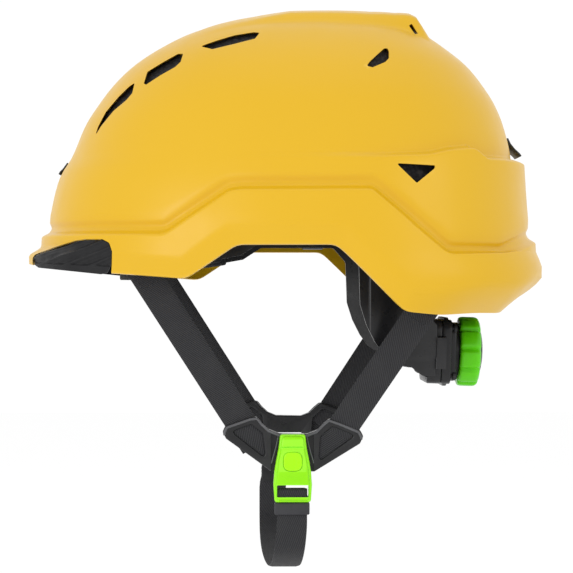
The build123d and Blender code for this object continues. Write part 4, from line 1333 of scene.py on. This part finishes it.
BASE_LAYERS = [(48, 36, -7.9, -0.05, 6, 0.8), (42, 30, -8.2, -6, 5, 0.5)]
COVER_LAYERS = [(48, 36, 0.1, 5.4, 6, 0.7), (44, 38.6, 1.2, 3.6, 7, 0.5), (41, 33, 4.5, 8.4, 8, 0.8)]
base = housing_half("dial_housing_base", -7.9, 0, BASE_LAYERS)
place(base, "dial_unit", GLOSS, "ratchet_base", slot="black_gloss")
cover = housing_half("dial_housing_cover", 0.1, 8.4, COVER_LAYERS)
boolean(cover, [dial_turned("shaft_hole", [(0, -6), (3.3, -6), (3.3, 20), (0, 20)], 48)])
place(cover, "dial_unit", GLOSS, "ratchet_cover", slot="black_gloss")
collar_profile = [
    (12.0, 8.0), (16.4, 8.0), (16.4, 10.4), (16.0, 10.8), (12.4, 10.8), (12.0, 10.4), (12.0, 8.0),
]
place(dial_turned("dial_collar", collar_profile, 96), "dial_unit", SATIN, slot="black_plastic")


# ---------------------------------------------------------------- nape arms
NAPE_HALF_WIDTH = 75.0
NAPE_HALF_LENGTH = 104.0
ARM = [
    (7.6, -2.4), (30, -2.8), (37.4, -11.5), (38.2, -36), (41.5, -46.5), (46, -55.5), (51, -62.5),
    (62, -69.2), (66.5, -69.6),
    (73, -74.6), (84.6, -75), (85.4, -51), (78, -44), (72, -34), (61, -2), (48, 9), (8, 11),
]


def make_arm():
    """A curved glossy plate from the temple rivet down to the dial's rack strip."""
    rows_y = np.arange(4, 89.01, 0.8)
    cols_z = np.arange(-80, 16.01, 0.8)
    yy, zz = np.meshgrid(rows_y, cols_z, indexing="ij")
    verts = []
    border = (yy - 38.2) / 5.2
    lift = 0.9 * smooth((border - 0.9) / 0.25) * smooth((-10 - zz) / 6)
    lift *= 1 - smooth((-63 - zz) / 4)
    for off in (0.0, -2.2):
        a, b = NAPE_HALF_WIDTH + off, NAPE_HALF_LENGTH + off
        x = a * np.sqrt(np.maximum(1 - (yy / b) ** 2, 0.01)) + (lift if off == 0 else 0)
        verts += list(np.stack([x, yy, zz], axis=-1).reshape(-1, 3))
    r, c = yy.shape
    total = r * c
    faces = grid_faces(r, c, False, flip=True) + grid_faces(r, c, False, total)
    edge = list(range(c)) + [i * c + c - 1 for i in range(1, r)]
    edge += [(r - 1) * c + k for k in range(c - 2, -1, -1)] + [i * c for i in range(r - 2, 0, -1)]
    for i, j in zip(edge, edge[1:] + edge[:1]):
        faces.append((i, j, j + total, i + total))
    obj = new_mesh("nape_arm_plate_left", verts, faces)
    weld(obj)
    form = prism("arm_form", ARM, 47.6, 120, 3.0)
    boolean(obj, [form], "INTERSECT")
    hole = prism("pin_hole", circle_line(18, 3, 2.7), 0, 120, 0.01)
    boolean(obj, [hole])
    sharp_by_angle(obj, 40)
    return obj


arm = make_arm()
arm_right = mirror_copy(arm, "nape_arm_plate_right")
for piece, side, sign in ((arm, "left", 1), (arm_right, "right", -1)):
    piece.data.materials.clear()
    piece.data.materials.append(GLOSS)
    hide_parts(f"nape_arm_{side}")
    start = (sign * 0.0735, 0.024, -0.020)
    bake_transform(piece)


# ---------------------------------------------------------------- pads
def pad_form(name, surface, rows, cols, thick, crown, rides, replaced, channels=()):
    """A padded piece over a surface(u, v) -> (point, inward normal); u and v run 0 to 1."""
    u, v = np.meshgrid(np.linspace(0, 1, rows), np.linspace(0, 1, cols), indexing="ij")
    point, normal = surface(u, v)
    rim = np.minimum(np.minimum(u, 1 - u) * rows, np.minimum(v, 1 - v) * cols)
    soft = 1 - np.exp(-0.9 * rim)
    puff = crown * (np.sin(math.pi * u) * np.sin(math.pi * v)).clip(0, 1) ** 0.35
    dent = np.zeros_like(u)
    for k in channels:
        dent += np.exp(-(((u - k) * rows / 1.6) ** 2))
    depth = (thick * 0.35 + (thick * 0.65 + puff) * soft) * (1 - 0.5 * np.minimum(dent, 1))
    verts = list(point.reshape(-1, 3))
    verts += list((point + normal * depth[..., None]).reshape(-1, 3))
    total = rows * cols
    faces = grid_faces(rows, cols, False) + grid_faces(rows, cols, False, total, flip=True)
    edge = list(range(cols)) + [i * cols + cols - 1 for i in range(1, rows)]
    edge += [(rows - 1) * cols + k for k in range(cols - 2, -1, -1)] + [
        i * cols
        for i in range(rows - 2, 0, -1)
    ]
    for i, j in zip(edge, edge[1:] + edge[:1]):
        faces.append((j, i, i + total, j + total))
    obj = new_mesh(name, verts, faces)
    weld(obj)
    mod = obj.modifiers.new("soft", "SUBSURF")
    mod.levels = 1
    use_modifiers(obj)
    sharp_by_angle(obj, 80)
    place(obj, rides, CLOTH, replaced, slot="pad_fabric")
    return obj


BROW_LIP = soft_line([(-200, -22.6), (-90, -22.6), (-80, -19.5), (-34, -13.0), (200, -13.0)], 2)


def brow_surface(u, v):
    """Inside of the front band and its lower lip, ear to ear."""
    angle = np.radians(-158 + 136 * u)
    a, b = 75.4, 94.4
    x, y = a * np.cos(angle), b * np.sin(angle)
    inward = np.stack([-np.cos(angle) / a, -np.sin(angle) / b, 0 * angle], axis=-1)
    inward /= np.linalg.norm(inward, axis=-1, keepdims=True)
    low = BROW_LIP(y)
    return np.stack([x, y, low + (11.0 - low) * v], axis=-1), inward


pad_form(
    "brow_cushion", brow_surface, 90, 16, 3.0, 1.4, "helmet", "brow_pad",
    channels=(0.2, 0.35, 0.5, 0.65, 0.8),
)


def dome_height(x, y):
    """Heights of the plain dome over points of the plan."""
    low = np.full_like(x, STATION_S[5])
    high = np.full_like(x, STATION_S[-1] - 0.01)
    for _ in range(30):
        mid = (low + high) / 2
        _, front, rear, half = ring_at(mid)
        middle = np.minimum(RING_MIDDLE, (rear - front) / 2 + RING_MIDDLE)
        reach = np.maximum(np.where(y > middle, rear - middle, front + middle), 0.01)
        across = (np.abs(x) / np.maximum(half, 0.01)) ** RING_POWER
        inside = across + (np.abs(y - middle) / reach) ** RING_POWER < 1
        low = np.where(inside, mid, low)
        high = np.where(inside, high, mid)
    return ring_at(low)[0]


def crown_surface(y_from, y_to):
    """Under side of the liner between two places along the head."""

    def surface(u, v):
        x = -19.5 + 39 * v
        y = y_from + (y_to - y_from) * u
        z = dome_height(x, y)
        slope_y = (dome_height(x, y + 1) - dome_height(x, y - 1)) / 2
        slope_x = (dome_height(x + 1, y) - dome_height(x - 1, y)) / 2
        normal = np.stack([slope_x, slope_y, -np.ones_like(z)], axis=-1)
        normal /= np.linalg.norm(normal, axis=-1, keepdims=True)
        return np.stack([x, y, z], axis=-1) + normal * (WALL + 12.0 + 1.3), normal

    return surface


for part, (y0, y1) in {"front": (-57, -29), "middle": (-7, 33), "rear": (52.5, 77)}.items():
    node = f"crown_pad_{part}"
    pad_form(f"crown_cushion_{part}", crown_surface(y0, y1), 16, 20, 3.6, 1.6, "helmet", node)


def nape_surface(u, v):
    """Face of the dial housing that the nape pad sits on."""
    inward = np.zeros(u.shape + (3,))
    inward[..., 1] = -1
    return np.stack([-31 + 62 * u, 78.0 + 0 * u, -62.7 - 14 + 28 * v], axis=-1), inward


pad_form(
    "nape_cushion", nape_surface, 30, 14, 3.6, 1.2, "dial_unit", "nape_pad", channels=(0.33, 0.67),
)


# ---------------------------------------------------------------- headlamp clips
LAMP_HALF = 10.8


def lamp_strip(name, path, thick=1.1):
    """A thin curved tongue across the shell that holds the band of a headlamp."""
    points = [Vector(p) for p in path]
    near, away = [], []
    for i, p in enumerate(points):
        before, after = points[max(i - 1, 0)], points[min(i + 1, len(points) - 1)]
        along = (after - before).normalized()
        across = Vector((-along.y, along.x)) * thick / 2
        near.append(tuple(p + across))
        away.append(tuple(p - across))
    return bevelled(prism(name, near + away[::-1], -LAMP_HALF, LAMP_HALF, 0.3), 0.25, 2, 50)


REAR_STRIP = [(124.9, 57.6), (126.4, 54.4), (128.8, 51.4), (131.6, 48.8), (132.7, 47.4)]
FRONT_STRIP = [(-122.9, 43.2), (-124.3, 41.2), (-125.5, 39.6), (-127.0, 38.2), (-127.8, 36.8)]
place(lamp_strip("lamp_tongue_rear", REAR_STRIP), "helmet", SATIN, "lamp_clip_rear", slot="black_plastic")
place(lamp_strip("lamp_tongue_front", FRONT_STRIP), "helmet", SATIN, "lamp_clip_front", slot="black_plastic")


# ---------------------------------------------------------------- CAD nodes that stay
def repaint(material, *names):
    for name in names:
        obj = NODES[name]
        obj.data.materials.clear()
        obj.data.materials.append(material)


repaint(FOAM, "foam_liner")
repaint(SATIN, "headband_front", "rack_strip_left", "rack_strip_right", "pinion")
repaint(SATIN, *[f"hanger_{p}_{s}" for p in ("front", "temple") for s in ("left", "right")])
repaint(SATIN, *[f"anchor_{p}_{s}" for p in ("front", "rear") for s in ("left", "right")])
repaint(GLOSS, "pivot_pin_left", "pivot_pin_right")
repaint(STEEL, "anchor_screws", "click_spring")
repaint(SATIN, "cover_screws")


# ---------------------------------------------------------------- stage, light and camera
FLOOR_DROP = 130.0


def make_stage():
    verts, faces = [], []
    floor_z = cad_box[0][2] / MM - FLOOR_DROP
    for x in (-3000, 3000):
        for y in (-3000, 3000):
            verts.append((x, y, floor_z))
    obj = new_mesh("floor", verts, [(0, 2, 3, 1)])
    s = Shader("pale_floor", (0.97, 0.97, 0.97), 0.9)
    s.bsdf.inputs["Specular IOR Level"].default_value = 0.0
    obj.data.materials.append(s.material)


def area_light(name, place_at, target, size, power):
    data = bpy.data.lights.new(name, "AREA")
    data.shape = "RECTANGLE"
    data.size, data.size_y = size
    data.energy = power
    obj = bpy.data.objects.new(name, data)
    obj.location = place_at
    obj.rotation_euler = (Vector(target) - Vector(place_at)).to_track_quat("-Z", "Y").to_euler()
    bpy.context.scene.collection.objects.link(obj)


make_stage()
world = bpy.data.worlds.new("studio")
world.use_nodes = True
world.node_tree.nodes["Background"].inputs["Color"].default_value = (1, 1, 1, 1)
world.node_tree.nodes["Background"].inputs["Strength"].default_value = 1.02
bpy.context.scene.world = world
area_light("key", (1.1, -0.8, 0.15), (0, 0, 0), (0.6, 0.6), 4.0)
area_light("fill", (0.9, 0.9, 0.3), (0, 0, 0), (0.6, 0.6), 1.5)
area_light("top", (0.1, 0.1, 1.2), (0, 0, 0), (0.8, 0.8), 0.6)
bpy.context.scene.view_settings.view_transform = "Standard"

camera_data = bpy.data.cameras.new("camera")
camera_data.lens = 110.2
camera_data.sensor_width = 36.0
camera = bpy.data.objects.new("camera", camera_data)
AIM = Vector((0.0, 0.0003, -0.0262))
YAW = math.radians(1.0)
camera.location = AIM + Vector((math.cos(YAW), -math.sin(YAW), 0)) * 1.0
camera.rotation_euler = (AIM - camera.location).to_track_quat("-Z", "Y").to_euler()
bpy.context.scene.collection.objects.link(camera)
bpy.context.scene.camera = camera
